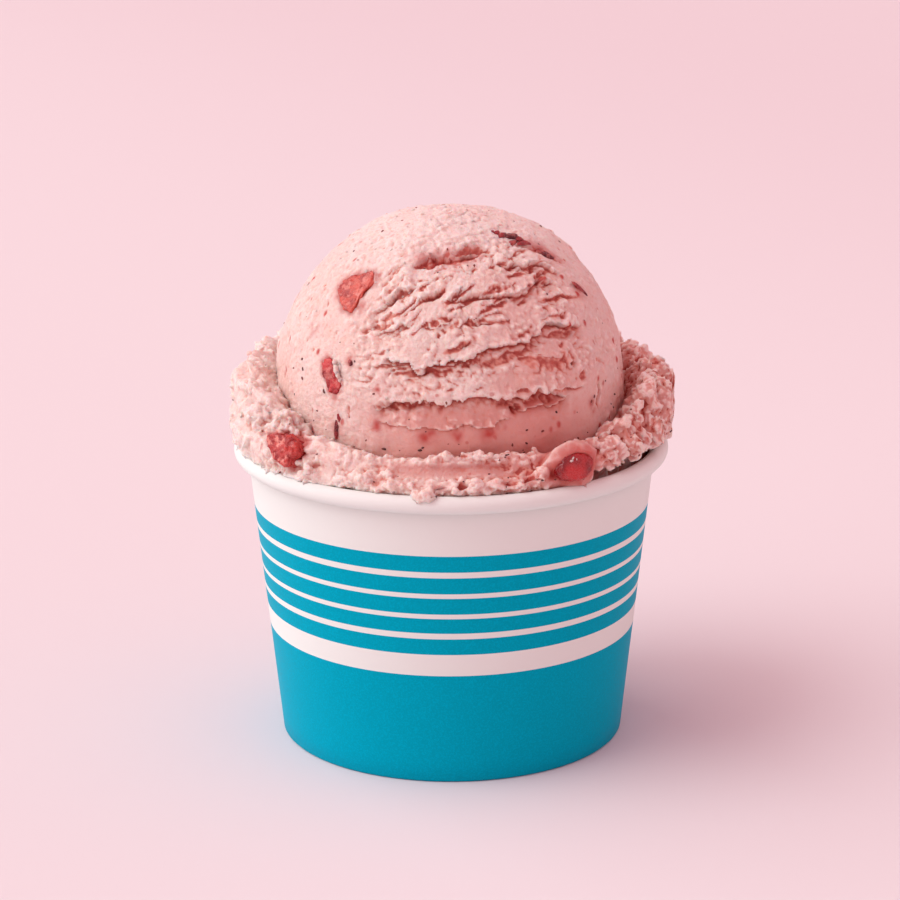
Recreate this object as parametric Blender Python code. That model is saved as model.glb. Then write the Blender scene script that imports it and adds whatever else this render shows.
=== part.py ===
"""Strawberry ice cream in a striped paper cup, in metres, +Z up.

The origin is the centre of the cup's foot, on the surface that it stands on,
and -Y is the front. The cup is a rolled paper wall with a curled rim and a
hemmed foot, and a pressed paper base whose flange is held in the hem. The ice
cream is one solid: a round scoop and the ragged collar that was pushed up
round it, down to the base. Strawberry chunks sit in pockets in it.
"""

import math

import bmesh
import bpy
from mathutils import Matrix, Vector, noise

# Driving dimensions of the cup
FOOT_RADIUS = 0.0300
CUP_HEIGHT = 0.0528
RIM_RADIUS = 0.0378
BEAD_DIAMETER = 0.0030
WALL_TAPER = 0.107
PAPER = 0.0005
GAP = 0.0003
HEM_HEIGHT = 0.0045
BASE_RECESS = 0.0056
BASE_SHOULDER = 0.0006
CUP_SEGMENTS = 64
BEAD_STEPS = 9
BEAD_SWEEP = math.radians(285)
SEAM_LIFT = 0.0003
SEAM_HALF_ANGLE = math.radians(6)
SEAM_EDGE_ANGLE = math.radians(0.6)

# Driving dimensions of the ice cream
SCOOP_RADIUS = 0.0301
SCOOP_HEIGHT = 0.0633
ICE_COLUMNS = 96
SCOOP_ROWS = 20
COLLAR_ROWS = 17
FILL_ROWS = 3
CREASE_DEPTH = 0.0022
SCOOP_SWELL = 0.0005
COLLAR_CRUMB = 0.0015
CREST_RAGGEDNESS = 0.0016
SIDE_RAGGEDNESS = 0.0008
WIDEST_COLLAR = 0.0386
NECK_HEIGHT = 0.0526
OVERHANG_HEIGHT = 0.0538

# The collar round the scoop, by azimuth in degrees from the front towards +X:
# its crest's height and radius, its widest radius, and its radius in the rim
COLLAR = (
    (0, 0.0578, 0.0322, 0.0354, 0.0343),
    (30, 0.0582, 0.0326, 0.0354, 0.0334),
    (50, 0.0612, 0.0334, 0.0364, 0.0320),
    (72, 0.0668, 0.0342, 0.0377, 0.0326),
    (100, 0.0682, 0.0344, 0.0384, 0.0342),
    (145, 0.0690, 0.0342, 0.0380, 0.0343),
    (190, 0.0684, 0.0343, 0.0379, 0.0343),
    (230, 0.0692, 0.0342, 0.0380, 0.0343),
    (268, 0.0686, 0.0344, 0.0382, 0.0343),
    (292, 0.0672, 0.0342, 0.0381, 0.0343),
    (308, 0.0640, 0.0338, 0.0374, 0.0343),
    (328, 0.0586, 0.0328, 0.0360, 0.0343),
)

# Torn lips left by the scoop's edge, as azimuth and polar angle in degrees
TEARS = (
    ((-25, 84), (-12, 82), (2, 82), (16, 81), (30, 81), (42, 84)),
    ((-22, 71), (-9, 72), (5, 69), (22, 66), (36, 61), (54, 63)),
    ((-28, 63), (-14, 59), (2, 57), (18, 57)),
    ((-32, 57), (-25, 51), (-14, 50), (3, 49), (20, 49), (50, 47)),
    ((-20, 40), (-10, 34), (4, 33), (18, 30)),
    ((120, 76), (140, 73), (160, 75), (182, 78)),
    ((110, 60), (132, 56), (155, 58), (176, 60)),
    ((200, 66), (222, 62), (246, 66)),
    ((96, 44), (130, 40), (165, 42), (205, 45)),
)
TEAR_RISE = 0.0007
TEAR_CUT = 0.0011
TEAR_REACH = 0.0026
TEAR_FADE = 9.0

# A lump in the collar round one of the berries: azimuth, height, size
LUMP_AZIMUTH = 38
LUMP_HEIGHT = 0.0566
LUMP_SPREAD = 0.0042
LUMP_RISE = 0.0018

# Strawberry chunks in the scoop: azimuth and polar angle in degrees, and their
# length, height and thickness
SCOOP_BERRIES = (
    (-44.9, 48.7, (0.0074, 0.0070, 0.0044)),
    (-42.7, 78.1, (0.0056, 0.0062, 0.0042)),
    (138, 64, (0.0068, 0.0060, 0.0044)),
    (214, 50, (0.0062, 0.0064, 0.0042)),
)
# Strawberry chunks in the collar: azimuth in degrees, height, how far the
# middle lies from the axis, and their length, height and thickness
COLLAR_BERRIES = (
    (-51, 0.0570, 0.0356, (0.0080, 0.0070, 0.0050)),
    (37, 0.0562, 0.0360, (0.0056, 0.0052, 0.0044)),
    (168, 0.0600, 0.0360, (0.0068, 0.0062, 0.0048)),
    (-124, 0.0588, 0.0362, (0.0060, 0.0066, 0.0046)),
)
BERRY_SINK = 0.0012
BERRY_ROUGHNESS = 0.16

COLOURS = {
    "paper": (0.90, 0.87, 0.84, 1.0),
    "ice_cream": (0.86, 0.52, 0.46, 1.0),
    "strawberry": (0.55, 0.06, 0.05, 1.0),
}


def clear_scene():
    """Remove every object, so that the model starts from nothing."""
    for thing in list(bpy.data.objects):
        bpy.data.objects.remove(thing, do_unlink=True)


def finish_material(name, colour, roughness):
    """Make a plain Principled material."""
    material = bpy.data.materials.new(name)
    material.use_nodes = True
    shader = material.node_tree.nodes["Principled BSDF"]
    shader.inputs["Base Color"].default_value = colour
    shader.inputs["Roughness"].default_value = roughness
    shader.inputs["Metallic"].default_value = 0.0
    return material


def add_object(name, mesh_data, material):
    """Turn a bmesh into a smooth-shaded object of the scene."""
    mesh = bpy.data.meshes.new(name)
    mesh_data.normal_update()
    mesh_data.to_mesh(mesh)
    mesh_data.free()
    mesh.shade_smooth()
    mesh.set_sharp_from_angle(angle=math.radians(40))
    mesh.materials.append(material)
    thing = bpy.data.objects.new(name, mesh)
    bpy.context.scene.collection.objects.link(thing)
    return thing


def turned(profile):
    """Spin a closed or pole-to-pole (radius, height) profile about the axis."""
    shape = bmesh.new()
    points = [shape.verts.new((radius, 0.0, height)) for radius, height in profile]
    closed = profile[0][0] > 0.0
    edges = [shape.edges.new(pair) for pair in zip(points, points[1:])]
    if closed:
        edges.append(shape.edges.new((points[-1], points[0])))
    bmesh.ops.spin(
        shape,
        geom=points + edges,
        cent=(0.0, 0.0, 0.0),
        axis=(0.0, 0.0, 1.0),
        angle=2.0 * math.pi,
        steps=CUP_SEGMENTS,
        use_merge=True,
    )
    bmesh.ops.remove_doubles(shape, verts=shape.verts[:], dist=1e-6)
    bmesh.ops.recalc_face_normals(shape, faces=shape.faces[:])
    return shape


def wall_radius(height):
    """Outer radius of the cup's wall at a height."""
    return FOOT_RADIUS + WALL_TAPER * height


def thick_profile(centre_line, thickness):
    """Give an open centre line of a sheet its thickness, as a closed profile."""
    near, far = [], []
    for index, point in enumerate(centre_line):
        before = centre_line[max(index - 1, 0)]
        after = centre_line[min(index + 1, len(centre_line) - 1)]
        into = Vector((point[0] - before[0], point[1] - before[1]))
        out = Vector((after[0] - point[0], after[1] - point[1]))
        into = into.normalized() if into.length else out.normalized()
        out = out.normalized() if out.length else into
        along = (into + out).normalized()
        mitre = 1.0 / max(along.dot(into), 0.5)
        side = Vector((-along.y, along.x)) * (0.5 * thickness * mitre)
        near.append((point[0] + side.x, point[1] + side.y))
        far.append((point[0] - side.x, point[1] - side.y))
    return near + far[::-1]


def wall_centre_line():
    """The wall's sheet from inside the hem, under the foot and up to the curl."""
    half = 0.5 * PAPER
    hem_inset = 1.5 * PAPER + PAPER + 2.0 * GAP
    bead_radius = 0.5 * BEAD_DIAMETER - half
    bead_r = RIM_RADIUS - 0.5 * BEAD_DIAMETER
    bead_z = CUP_HEIGHT - 0.5 * BEAD_DIAMETER
    line = [
        (wall_radius(HEM_HEIGHT) - hem_inset, HEM_HEIGHT),
        (wall_radius(half) - hem_inset, half),
        (wall_radius(half) - half, half),
        (wall_radius(0.5 * bead_z) - half, 0.5 * bead_z),
        (wall_radius(bead_z - bead_radius) - half, bead_z - bead_radius),
    ]
    for step in range(BEAD_STEPS + 1):
        angle = math.pi - BEAD_SWEEP * step / BEAD_STEPS
        line.append((bead_r + bead_radius * math.cos(angle), bead_z + bead_radius * math.sin(angle)))
    return line


def lift_seam(shape):
    """Raise the overlap of the sheet's two ends, a strip at the back."""
    back = math.radians(90)
    for corner in shape.verts:
        radius = math.hypot(corner.co.x, corner.co.y)
        azimuth = math.atan2(corner.co.y, corner.co.x)
        offset = azimuth - back
        on_outside = radius > wall_radius(corner.co.z) - 0.5 * PAPER
        if abs(offset) > SEAM_HALF_ANGLE or not on_outside or corner.co.z < PAPER:
            continue
        if offset > SEAM_HALF_ANGLE - 2.0 * math.pi / CUP_SEGMENTS:
            azimuth = back + SEAM_HALF_ANGLE - SEAM_EDGE_ANGLE
        lifted = radius + SEAM_LIFT
        corner.co.x = lifted * math.cos(azimuth)
        corner.co.y = lifted * math.sin(azimuth)


def make_wall(material):
    """The rolled paper wall with its curled rim, hem and seam."""
    shape = turned(thick_profile(wall_centre_line(), PAPER))
    lift_seam(shape)
    return add_object("cup_wall", shape, material)


def make_base(material):
    """The pressed paper base, its flange turned down into the hem."""
    top = BASE_RECESS + PAPER
    foot = PAPER + GAP
    outer = PAPER + GAP
    inner = outer + PAPER
    profile = (
        (0.0, top),
        (wall_radius(top) - outer - BASE_SHOULDER, top),
        (wall_radius(top - BASE_SHOULDER) - outer, top - BASE_SHOULDER),
        (wall_radius(foot) - outer, foot),
        (wall_radius(foot) - inner, foot),
        (wall_radius(BASE_RECESS - BASE_SHOULDER) - inner, BASE_RECESS - BASE_SHOULDER),
        (wall_radius(BASE_RECESS) - inner - BASE_SHOULDER, BASE_RECESS),
        (0.0, BASE_RECESS),
    )
    return add_object("cup_base", turned(profile), material)


def smooth_step(low, high, value):
    """Rise smoothly from 0 at low to 1 at high."""
    share = min(max((value - low) / (high - low), 0.0), 1.0)
    return share * share * (3.0 - 2.0 * share)


def collar_at(azimuth):
    """The collar's four sizes at an azimuth in degrees, blended round."""
    azimuth %= 360.0
    stations = COLLAR + ((360.0,) + COLLAR[0][1:],)
    for here, there in zip(stations, stations[1:]):
        if here[0] <= azimuth <= there[0]:
            share = smooth_step(here[0], there[0], azimuth)
            return [a + (b - a) * share for a, b in zip(here[1:], there[1:])]
    return list(COLLAR[0][1:])


def curve_point(points, share):
    """A point of a Catmull-Rom curve through (radius, height) points."""
    spans = len(points) - 1
    place = min(share * spans, spans - 1e-9)
    index = int(place)
    t = place - index
    before = Vector(points[max(index - 1, 0)])
    here = Vector(points[index])
    there = Vector(points[index + 1])
    after = Vector(points[min(index + 2, spans)])
    slope_here = 0.5 * (there - before)
    slope_there = 0.5 * (after - here)
    return (
        here * (2 * t**3 - 3 * t**2 + 1)
        + slope_here * (t**3 - 2 * t**2 + t)
        + there * (3 * t**2 - 2 * t**3)
        + slope_there * (t**3 - t**2)
    )


def ragged_collar(azimuth):
    """The collar's sizes with a crest and a side that wander unevenly."""
    crest_height, crest_radius, widest, neck = collar_at(azimuth)
    side = math.radians(azimuth)
    place = Vector((math.sin(side), math.cos(side), 0.0)) * crest_radius
    crest_height += CREST_RAGGEDNESS * unevenness(place, 0.0065, 2.3)
    crest_height += 0.6 * CREST_RAGGEDNESS * unevenness(place, 0.0032, 7.7)
    widest += SIDE_RAGGEDNESS * unevenness(place, 0.0080, 4.9)
    return crest_height, crest_radius, min(widest, WIDEST_COLLAR), neck


def crease_angle(azimuth):
    """Polar angle at which the scoop rises out of the collar, in radians."""
    crest_height = collar_at(azimuth)[0]
    return math.acos((crest_height - CREASE_DEPTH - SCOOP_HEIGHT) / SCOOP_RADIUS)


def collar_profile(azimuth):
    """The collar's section at an azimuth, from inside the rim to the crease."""
    crest_height, crest_radius, widest, neck = ragged_collar(azimuth)
    rise = crest_height - OVERHANG_HEIGHT
    crease = crease_angle(azimuth)
    low = 1.0 - smooth_step(0.0050, 0.0090, rise)
    groove = 0.0016 * low
    return (
        (neck, NECK_HEIGHT),
        (widest - 0.0007, OVERHANG_HEIGHT),
        (widest, OVERHANG_HEIGHT + 0.32 * rise),
        (widest - 0.0006 - groove, OVERHANG_HEIGHT + 0.62 * rise),
        (crest_radius + 0.0016 - 0.4 * groove, crest_height - 0.0010),
        (crest_radius, crest_height),
        (SCOOP_RADIUS * math.sin(crease), SCOOP_HEIGHT + SCOOP_RADIUS * math.cos(crease)),
    )


def tear_relief(azimuth, polar):
    """How far the scoop's torn lips stand out or in at a direction."""
    depth = 0.0
    for tear in TEARS:
        start, end = tear[0][0], tear[-1][0]
        turn = (azimuth - start) % 360.0 + start
        if not start <= turn <= end:
            continue
        for (left, left_polar), (right, right_polar) in zip(tear, tear[1:]):
            if left <= turn <= right:
                share = (turn - left) / (right - left)
                lip = left_polar + (right_polar - left_polar) * share
                below = math.radians(polar - lip) * SCOOP_RADIUS
                run = TEAR_FADE / math.sin(math.radians(lip))
                fade = smooth_step(start, start + run, turn) * smooth_step(-end, run - end, -turn)
                strength = TEAR_RISE if below < 0.0 else -TEAR_CUT
                depth += fade * strength * math.exp(-abs(below) / TEAR_REACH)
                break
    return depth


def unevenness(place, wavelength, seed):
    """Smooth seeded noise between about -1 and 1 at a place."""
    shift = Vector((seed, 2.0 * seed, -seed))
    return noise.noise(place / wavelength + shift)


def scoop_point(azimuth, polar):
    """A point of the scoop's surface, with its swell and torn lips."""
    side = math.radians(azimuth)
    direction = Vector((
        math.sin(side) * math.sin(polar),
        -math.cos(side) * math.sin(polar),
        math.cos(polar),
    ))
    place = direction * SCOOP_RADIUS
    radius = SCOOP_RADIUS + SCOOP_SWELL * unevenness(place, 0.016, 3.7)
    radius += 0.5 * SCOOP_SWELL * unevenness(place, 0.007, 8.1)
    radius += tear_relief(azimuth, math.degrees(polar))
    return direction * radius + Vector((0.0, 0.0, SCOOP_HEIGHT))


def collar_point(azimuth, share):
    """A point of the collar's surface, crumbled except at its two ends."""
    radius, height = curve_point(collar_profile(azimuth), share)
    side = math.radians(azimuth)
    outward = Vector((math.sin(side), -math.cos(side), 0.0))
    place = outward * radius + Vector((0.0, 0.0, height))
    hold = smooth_step(0.0, 0.18, share) * smooth_step(-1.0, -0.86, -share)
    crumb = unevenness(place, 0.0062, 5.3) + 0.8 * abs(unevenness(place, 0.0043, 1.9)) - 0.2
    lean = outward * (0.9 - 0.5 * share) + Vector((0.0, 0.0, 0.3 + 0.7 * share))
    place += lean * (COLLAR_CRUMB * crumb * hold)
    lump_side = math.radians(LUMP_AZIMUTH)
    lump = Vector((0.034 * math.sin(lump_side), -0.034 * math.cos(lump_side), LUMP_HEIGHT))
    near = math.exp(-((place - lump).length / LUMP_SPREAD) ** 2)
    place += (outward + Vector((0.0, 0.0, 1.0))) * (LUMP_RISE * near * hold)
    if share > 0.03:
        place.z = max(place.z, OVERHANG_HEIGHT - GAP)
    spread = math.hypot(place.x, place.y)
    if spread > WIDEST_COLLAR:
        place.x *= WIDEST_COLLAR / spread
        place.y *= WIDEST_COLLAR / spread
    return place


def fill_ring():
    """Radii and heights of the ice cream inside the cup, up to its rim."""
    bottom = BASE_RECESS + PAPER + GAP
    ring = [(0.5 * FOOT_RADIUS, bottom)]
    for row in range(FILL_ROWS):
        height = bottom + (NECK_HEIGHT - 0.0016 - bottom) * row / FILL_ROWS
        ring.append((wall_radius(height) - PAPER - GAP, height))
    return ring


def ice_cream_rows(azimuth):
    """All surface points of the ice cream at one azimuth, foot to top."""
    side = math.radians(azimuth)
    rows = [Vector((r * math.sin(side), -r * math.cos(side), z)) for r, z in fill_ring()]
    rows += [collar_point(azimuth, row / COLLAR_ROWS) for row in range(COLLAR_ROWS)]
    crease = crease_angle(azimuth)
    for row in range(SCOOP_ROWS):
        rows.append(scoop_point(azimuth, crease * (1.0 - row / SCOOP_ROWS)))
    return rows


def ice_cream_shape():
    """The scoop, its collar and the fill as one closed shape."""
    shape = bmesh.new()
    columns = []
    for column in range(ICE_COLUMNS):
        rows = ice_cream_rows(360.0 * column / ICE_COLUMNS)
        columns.append([shape.verts.new(place) for place in rows])
    foot = shape.verts.new((0.0, 0.0, BASE_RECESS + PAPER + GAP))
    crown = shape.verts.new(scoop_point(0.0, 0.0))
    for left, right in zip(columns, columns[1:] + columns[:1]):
        shape.faces.new((foot, right[0], left[0]))
        shape.faces.new((crown, left[-1], right[-1]))
        for row in range(len(left) - 1):
            shape.faces.new((left[row], right[row], right[row + 1], left[row + 1]))
    bmesh.ops.triangulate(shape, faces=shape.faces[:])
    bmesh.ops.recalc_face_normals(shape, faces=shape.faces[:])
    return shape


def berry_frame(centre, normal):
    """Turn a chunk's thickness along the surface's normal, at its middle."""
    turn = normal.to_track_quat("Z", "Y").to_matrix().to_4x4()
    return Matrix.Translation(centre) @ turn


def berry_shape(size, seed, margin):
    """A rough angular chunk, or the pocket for it when margin is above 0."""
    shape = bmesh.new()
    bmesh.ops.create_icosphere(shape, subdivisions=2, radius=1.0)
    for corner in shape.verts:
        flat = max(abs(axis) for axis in corner.co)
        blocky = corner.co * (0.55 + 0.30 / flat)
        blocky *= 1.0 + BERRY_ROUGHNESS * noise.noise(corner.co * 1.3 + Vector((seed, seed, 0.0)))
        length = max(blocky.length, 1e-6)
        half = Vector((blocky.x * size[0], blocky.y * size[1], blocky.z * size[2])) * 0.5
        corner.co = half + blocky / length * margin
    bmesh.ops.recalc_face_normals(shape, faces=shape.faces[:])
    return shape


def berry_places():
    """Middle, outward normal and size of every strawberry chunk."""
    places = []
    for azimuth, polar, size in SCOOP_BERRIES:
        side, tilt = math.radians(azimuth), math.radians(polar)
        normal = Vector((math.sin(side) * math.sin(tilt), -math.cos(side) * math.sin(tilt), math.cos(tilt)))
        middle = normal * (SCOOP_RADIUS - BERRY_SINK) + Vector((0.0, 0.0, SCOOP_HEIGHT))
        places.append((middle, normal, size))
    for azimuth, height, radius, size in COLLAR_BERRIES:
        side = math.radians(azimuth)
        outward = Vector((math.sin(side), -math.cos(side), 0.0))
        middle = outward * radius + Vector((0.0, 0.0, height))
        places.append((middle, (outward + Vector((0.0, 0.0, 0.25))).normalized(), size))
    return places


def make_ice_cream_and_berries(ice_material, berry_material):
    """The ice cream with a pocket for each strawberry chunk, and the chunks."""
    ice = add_object("ice_cream", ice_cream_shape(), ice_material)
    pockets = bpy.data.collections.new("pockets")
    bpy.context.scene.collection.children.link(pockets)
    for number, (middle, normal, size) in enumerate(berry_places(), start=1):
        frame = berry_frame(middle, normal)
        chunk = add_object(f"strawberry_{number}", berry_shape(size, number, 0.0), berry_material)
        chunk.matrix_world = frame
        pocket = add_object(f"pocket_{number}", berry_shape(size, number, GAP), berry_material)
        pocket.matrix_world = frame
        pocket.hide_render = True
        pocket.display_type = "WIRE"
        bpy.context.scene.collection.objects.unlink(pocket)
        pockets.objects.link(pocket)
    cut = ice.modifiers.new("pockets", "BOOLEAN")
    cut.operation = "DIFFERENCE"
    cut.operand_type = "COLLECTION"
    cut.collection = pockets
    cut.solver = "EXACT"
    return ice


def build():
    """Make the whole part."""
    clear_scene()
    paper = finish_material("paper", COLOURS["paper"], 0.5)
    ice = finish_material("ice_cream", COLOURS["ice_cream"], 0.6)
    strawberry = finish_material("strawberry", COLOURS["strawberry"], 0.3)
    make_wall(paper)
    make_base(paper)
    make_ice_cream_and_berries(ice, strawberry)


build()
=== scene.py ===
"""Looks of a cup of strawberry ice cream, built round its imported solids.

Lengths are metres, +Z is up and -Y is the front, as in the frame. A direction
on the scoop is an azimuth from the front towards +X and a polar angle from the
top, both in degrees. The cup is printed paper. The scoop and its collar are
fine meshes whose relief is worked out from named tears, pockets and seeded
noise, and the berries, seeds and crumbs are pieces of their own.
"""

import logging
import math
from collections.abc import Iterator
from contextlib import contextmanager
from dataclasses import dataclass, field
from enum import Enum
from itertools import product

import bpy
import numpy as np
from mathutils import Matrix, Vector


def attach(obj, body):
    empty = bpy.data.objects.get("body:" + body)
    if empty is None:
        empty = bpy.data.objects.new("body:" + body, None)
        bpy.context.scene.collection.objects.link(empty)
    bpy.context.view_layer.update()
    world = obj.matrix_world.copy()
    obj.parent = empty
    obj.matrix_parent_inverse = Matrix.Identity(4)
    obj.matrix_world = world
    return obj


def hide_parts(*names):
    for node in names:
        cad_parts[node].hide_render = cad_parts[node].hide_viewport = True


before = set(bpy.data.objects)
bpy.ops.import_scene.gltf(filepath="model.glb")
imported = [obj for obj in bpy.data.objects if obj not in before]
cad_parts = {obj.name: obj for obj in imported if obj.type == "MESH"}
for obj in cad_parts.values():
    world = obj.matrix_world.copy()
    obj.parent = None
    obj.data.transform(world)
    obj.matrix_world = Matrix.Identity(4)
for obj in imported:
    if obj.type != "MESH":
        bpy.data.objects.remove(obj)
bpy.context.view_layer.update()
BODY = "root"
SCOOP_RADIUS = 0.0301
SCOOP_HEIGHT = 0.0633
WET_BERRY = 6
# A share of a size that counts as out of reach
FAR = 9.0
log = logging.getLogger("ice_cream_cup")

Piece = bpy.types.Object
Material = bpy.types.Material
Socket = bpy.types.NodeSocket
Points = np.ndarray
Pair = tuple[float, float]
Triple = tuple[float, float, float]
Colour = tuple[float, float, float, float]


class Slot(Enum):
    """Names for the kinds of material."""

    PRINT = "printed_paper"
    PAPER = "plain_paper"
    ICE = "strawberry_ice_cream"
    BERRY = "strawberry"


def ramp(low: float, high: float, value: Points) -> Points:
    """Rise smoothly from 0 at low to 1 at high.

    Args:
        low: where the rise starts.
        high: where it ends.
        value: the values to look up.

    Returns:
        The share of the rise at each value.
    """
    share = np.clip((value - low) / (high - low), 0.0, 1.0)
    return share * share * (3.0 - 2.0 * share)


class LatticeNoise:
    """Smooth seeded gradient noise in space, mostly between -1 and 1."""

    TABLE = 256
    GAIN = 1.5

    def __init__(self, seed: int) -> None:
        """Draw the lattice's gradients from the seed."""
        draw = np.random.default_rng(seed)
        order = draw.permutation(self.TABLE)
        self.order = np.concatenate([order, order])
        steep = draw.normal(size=(self.TABLE, 3))
        self.gradients = steep / np.linalg.norm(steep, axis=1, keepdims=True)

    def __call__(self, points: Points, wavelength: float) -> Points:
        """Look the noise up.

        Args:
            points: places, one row each.
            wavelength: size of the noise's lumps.

        Returns:
            One value for each place.
        """
        place = points / wavelength
        cell = np.floor(place).astype(np.int64)
        local = place - cell
        fade = local**3 * (local * (local * 6.0 - 15.0) + 10.0)
        cell &= self.TABLE - 1
        total = np.zeros(len(points))
        for corner in product((0, 1), repeat=3):
            x, y, z = ((cell[:, axis] + corner[axis]) & (self.TABLE - 1) for axis in range(3))
            pick = self.order[self.order[self.order[x] + y] + z]
            reach = ((local - corner) * self.gradients[pick]).sum(axis=1)
            total += np.where(corner, fade, 1.0 - fade).prod(axis=1) * reach
        return total * self.GAIN

    def billow(self, points: Points, wavelength: float, octaves: int = 3) -> Points:
        """Rounded lumps on lumps with sharp creases between them.

        Args:
            points: places, one row each.
            wavelength: size of the largest lumps.
            octaves: how many sizes of lumps, each half the one before.

        Returns:
            One value for each place, about zero on average.
        """
        total = np.zeros(len(points))
        for octave in range(octaves):
            share = 0.5**octave
            total += share * (2.4 * np.abs(self(points + 0.13 * octave, wavelength * share)) - 0.62)
        return total


class CellNoise:
    """Seeded cells in space, for crumbs and pores."""

    SALT = np.array([127.1, 311.7, 74.7])

    def __init__(self, seed: int) -> None:
        """Keep the seed."""
        self.seed = seed

    def centres(self, cell: Points) -> Points:
        """A repeatable random point inside each lattice cell, from 0 to 1."""
        mixed = cell @ self.SALT + self.seed * 17.3
        spread = np.stack([mixed, mixed * 1.7 + 3.1, mixed * 2.3 + 9.2], axis=1)
        value = np.sin(spread) * 43758.5453
        return value - np.floor(value)

    def __call__(self, points: Points, size: float) -> Points:
        """Distance to the nearest cell centre.

        Args:
            points: places, one row each.
            size: size of the cells.

        Returns:
            The distance for each place, as a share of the cells' size.
        """
        place = points / size
        cell = np.floor(place)
        nearest = np.full(len(points), FAR)
        for step in product((-1, 0, 1), repeat=3):
            other = cell + step
            gap = other + self.centres(other) - place
            nearest = np.minimum(nearest, (gap * gap).sum(axis=1))
        return np.sqrt(nearest)


def azimuths(points: Points) -> Points:
    """Azimuth of each place round the cup's axis, in degrees from -180 to 180."""
    return np.degrees(np.arctan2(points[:, 0], -points[:, 1]))


def spreads(points: Points) -> Points:
    """Distance of each place from the cup's axis."""
    return np.hypot(points[:, 0], points[:, 1])


def cliff(saw: Points, edge: float) -> Points:
    """Height of a sawtooth of cliffs: a short fall up to the edge and a long rise after it."""
    return np.where(saw > edge, ((saw - edge) / (1.0 - edge)) ** 0.7, (1.0 - saw / edge) ** 2)


def moved_by(matrix: Matrix, points: Points) -> Points:
    """Places moved by a matrix."""
    table = np.array(matrix)
    return points @ table[:3, :3].T + table[:3, 3]


def deselect_all() -> None:
    """Clear the selection, which loading the frame leaves full."""
    bpy.ops.object.select_all(action="DESELECT")


def take(piece: Piece) -> None:
    """Make a piece the only selected and active one."""
    deselect_all()
    piece.select_set(True)
    bpy.context.view_layer.objects.active = piece


@contextmanager
def edit_mode(piece: Piece, whole: bool = True) -> Iterator[None]:
    """Work on a piece in edit mode, with all of it selected at first if whole is true."""
    take(piece)
    bpy.ops.object.mode_set(mode="EDIT")
    if whole:
        bpy.ops.mesh.select_all(action="SELECT")
    yield
    bpy.ops.object.mode_set(mode="OBJECT")


def read_points(piece: Piece) -> Points:
    """All corners of a piece's mesh, one row each."""
    flat = np.empty(len(piece.data.vertices) * 3, dtype=np.float32)
    piece.data.vertices.foreach_get("co", flat)
    return flat.reshape(-1, 3).astype(np.float64)


def write_points(piece: Piece, points: Points) -> None:
    """Move all corners of a piece's mesh."""
    piece.data.vertices.foreach_set("co", points.astype(np.float32).ravel())
    piece.data.update()


def read_normals(piece: Piece) -> Points:
    """Smooth normals at all corners of a piece's mesh, one row each."""
    flat = np.empty(len(piece.data.vertices) * 3, dtype=np.float32)
    piece.data.vertex_normals.foreach_get("vector", flat)
    return flat.reshape(-1, 3).astype(np.float64)


def store(piece: Piece, name: str, values: Points) -> None:
    """Keep one number for each corner, which a material reads by its name."""
    layer = piece.data.attributes.new(name, "FLOAT", "POINT")
    layer.data.foreach_set("value", values.astype(np.float32))


def store_ice(piece: Piece, hollow: Points, stain: Points, dense: Points) -> None:
    """Keep the three numbers that the ice cream's finish reads, for each corner."""
    for name, values in (("hollow", hollow), ("stain", stain), ("dense", dense)):
        store(piece, name, values)


def read_stored(piece: Piece, name: str) -> Points:
    """The numbers that were kept on a piece under a name."""
    values = np.empty(len(piece.data.vertices), dtype=np.float32)
    piece.data.attributes[name].data.foreach_get("value", values)
    return values.astype(np.float64)


def hollow_depth(piece: Piece, rounds: int, reach: float) -> Points:
    """How far each corner lies in a hollow of its surroundings.

    Args:
        piece: the mesh piece.
        rounds: how often the surface is smoothed for comparison.
        reach: the depth that counts as fully hollow.

    Returns:
        1 deep in a hollow, 0 on flat ground and down to -1 on a crest.
    """
    mesh = piece.data
    ends = np.empty(len(mesh.edges) * 2, dtype=np.int32)
    mesh.edges.foreach_get("vertices", ends)
    left, right = ends.reshape(-1, 2).T
    count = len(mesh.vertices)
    valence = np.bincount(left, minlength=count) + np.bincount(right, minlength=count)
    start = read_points(piece)
    smooth = start.copy()
    for _ in range(rounds):
        for axis in range(3):
            near = np.bincount(left, weights=smooth[right, axis], minlength=count)
            near += np.bincount(right, weights=smooth[left, axis], minlength=count)
            smooth[:, axis] = near / np.maximum(valence, 1)
    depth = ((smooth - start) * read_normals(piece)).sum(axis=1)
    return np.clip(depth / reach, -1.0, 1.0)


def apply_modifier(piece: Piece, kind: str, **settings: object) -> None:
    """Add a modifier with its settings to a piece and apply it."""
    take(piece)
    modifier = piece.modifiers.new(kind.lower(), kind)
    for name, value in settings.items():
        setattr(modifier, name, value)
    bpy.ops.object.modifier_apply(modifier=modifier.name)


def turned_sheet(name: str, line: list[Pair], segments: int) -> Piece:
    """Turn an open line round the axis, ring by ring.

    Args:
        name: the new piece's name.
        line: radius and height of each ring.
        segments: corners in a ring.

    Returns:
        An open sheet whose faces point away from its first ring's inside.
    """
    deselect_all()
    first_radius, first_height = line[0]
    bpy.ops.mesh.primitive_circle_add(vertices=segments, radius=first_radius)
    piece = bpy.context.active_object
    piece.name = name
    with edit_mode(piece):
        bpy.ops.transform.translate(value=(0.0, 0.0, first_height))
        for (radius, height), (next_radius, next_height) in zip(line, line[1:]):
            rise = (0.0, 0.0, next_height - height)
            bpy.ops.mesh.extrude_region_move(TRANSFORM_OT_translate={"value": rise})
            grow = next_radius / radius
            bpy.ops.transform.resize(value=(grow, grow, 1.0), center_override=(0.0, 0.0, next_height))
        bpy.ops.mesh.select_all(action="SELECT")
        bpy.ops.mesh.normals_make_consistent(inside=False)
    return piece


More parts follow.
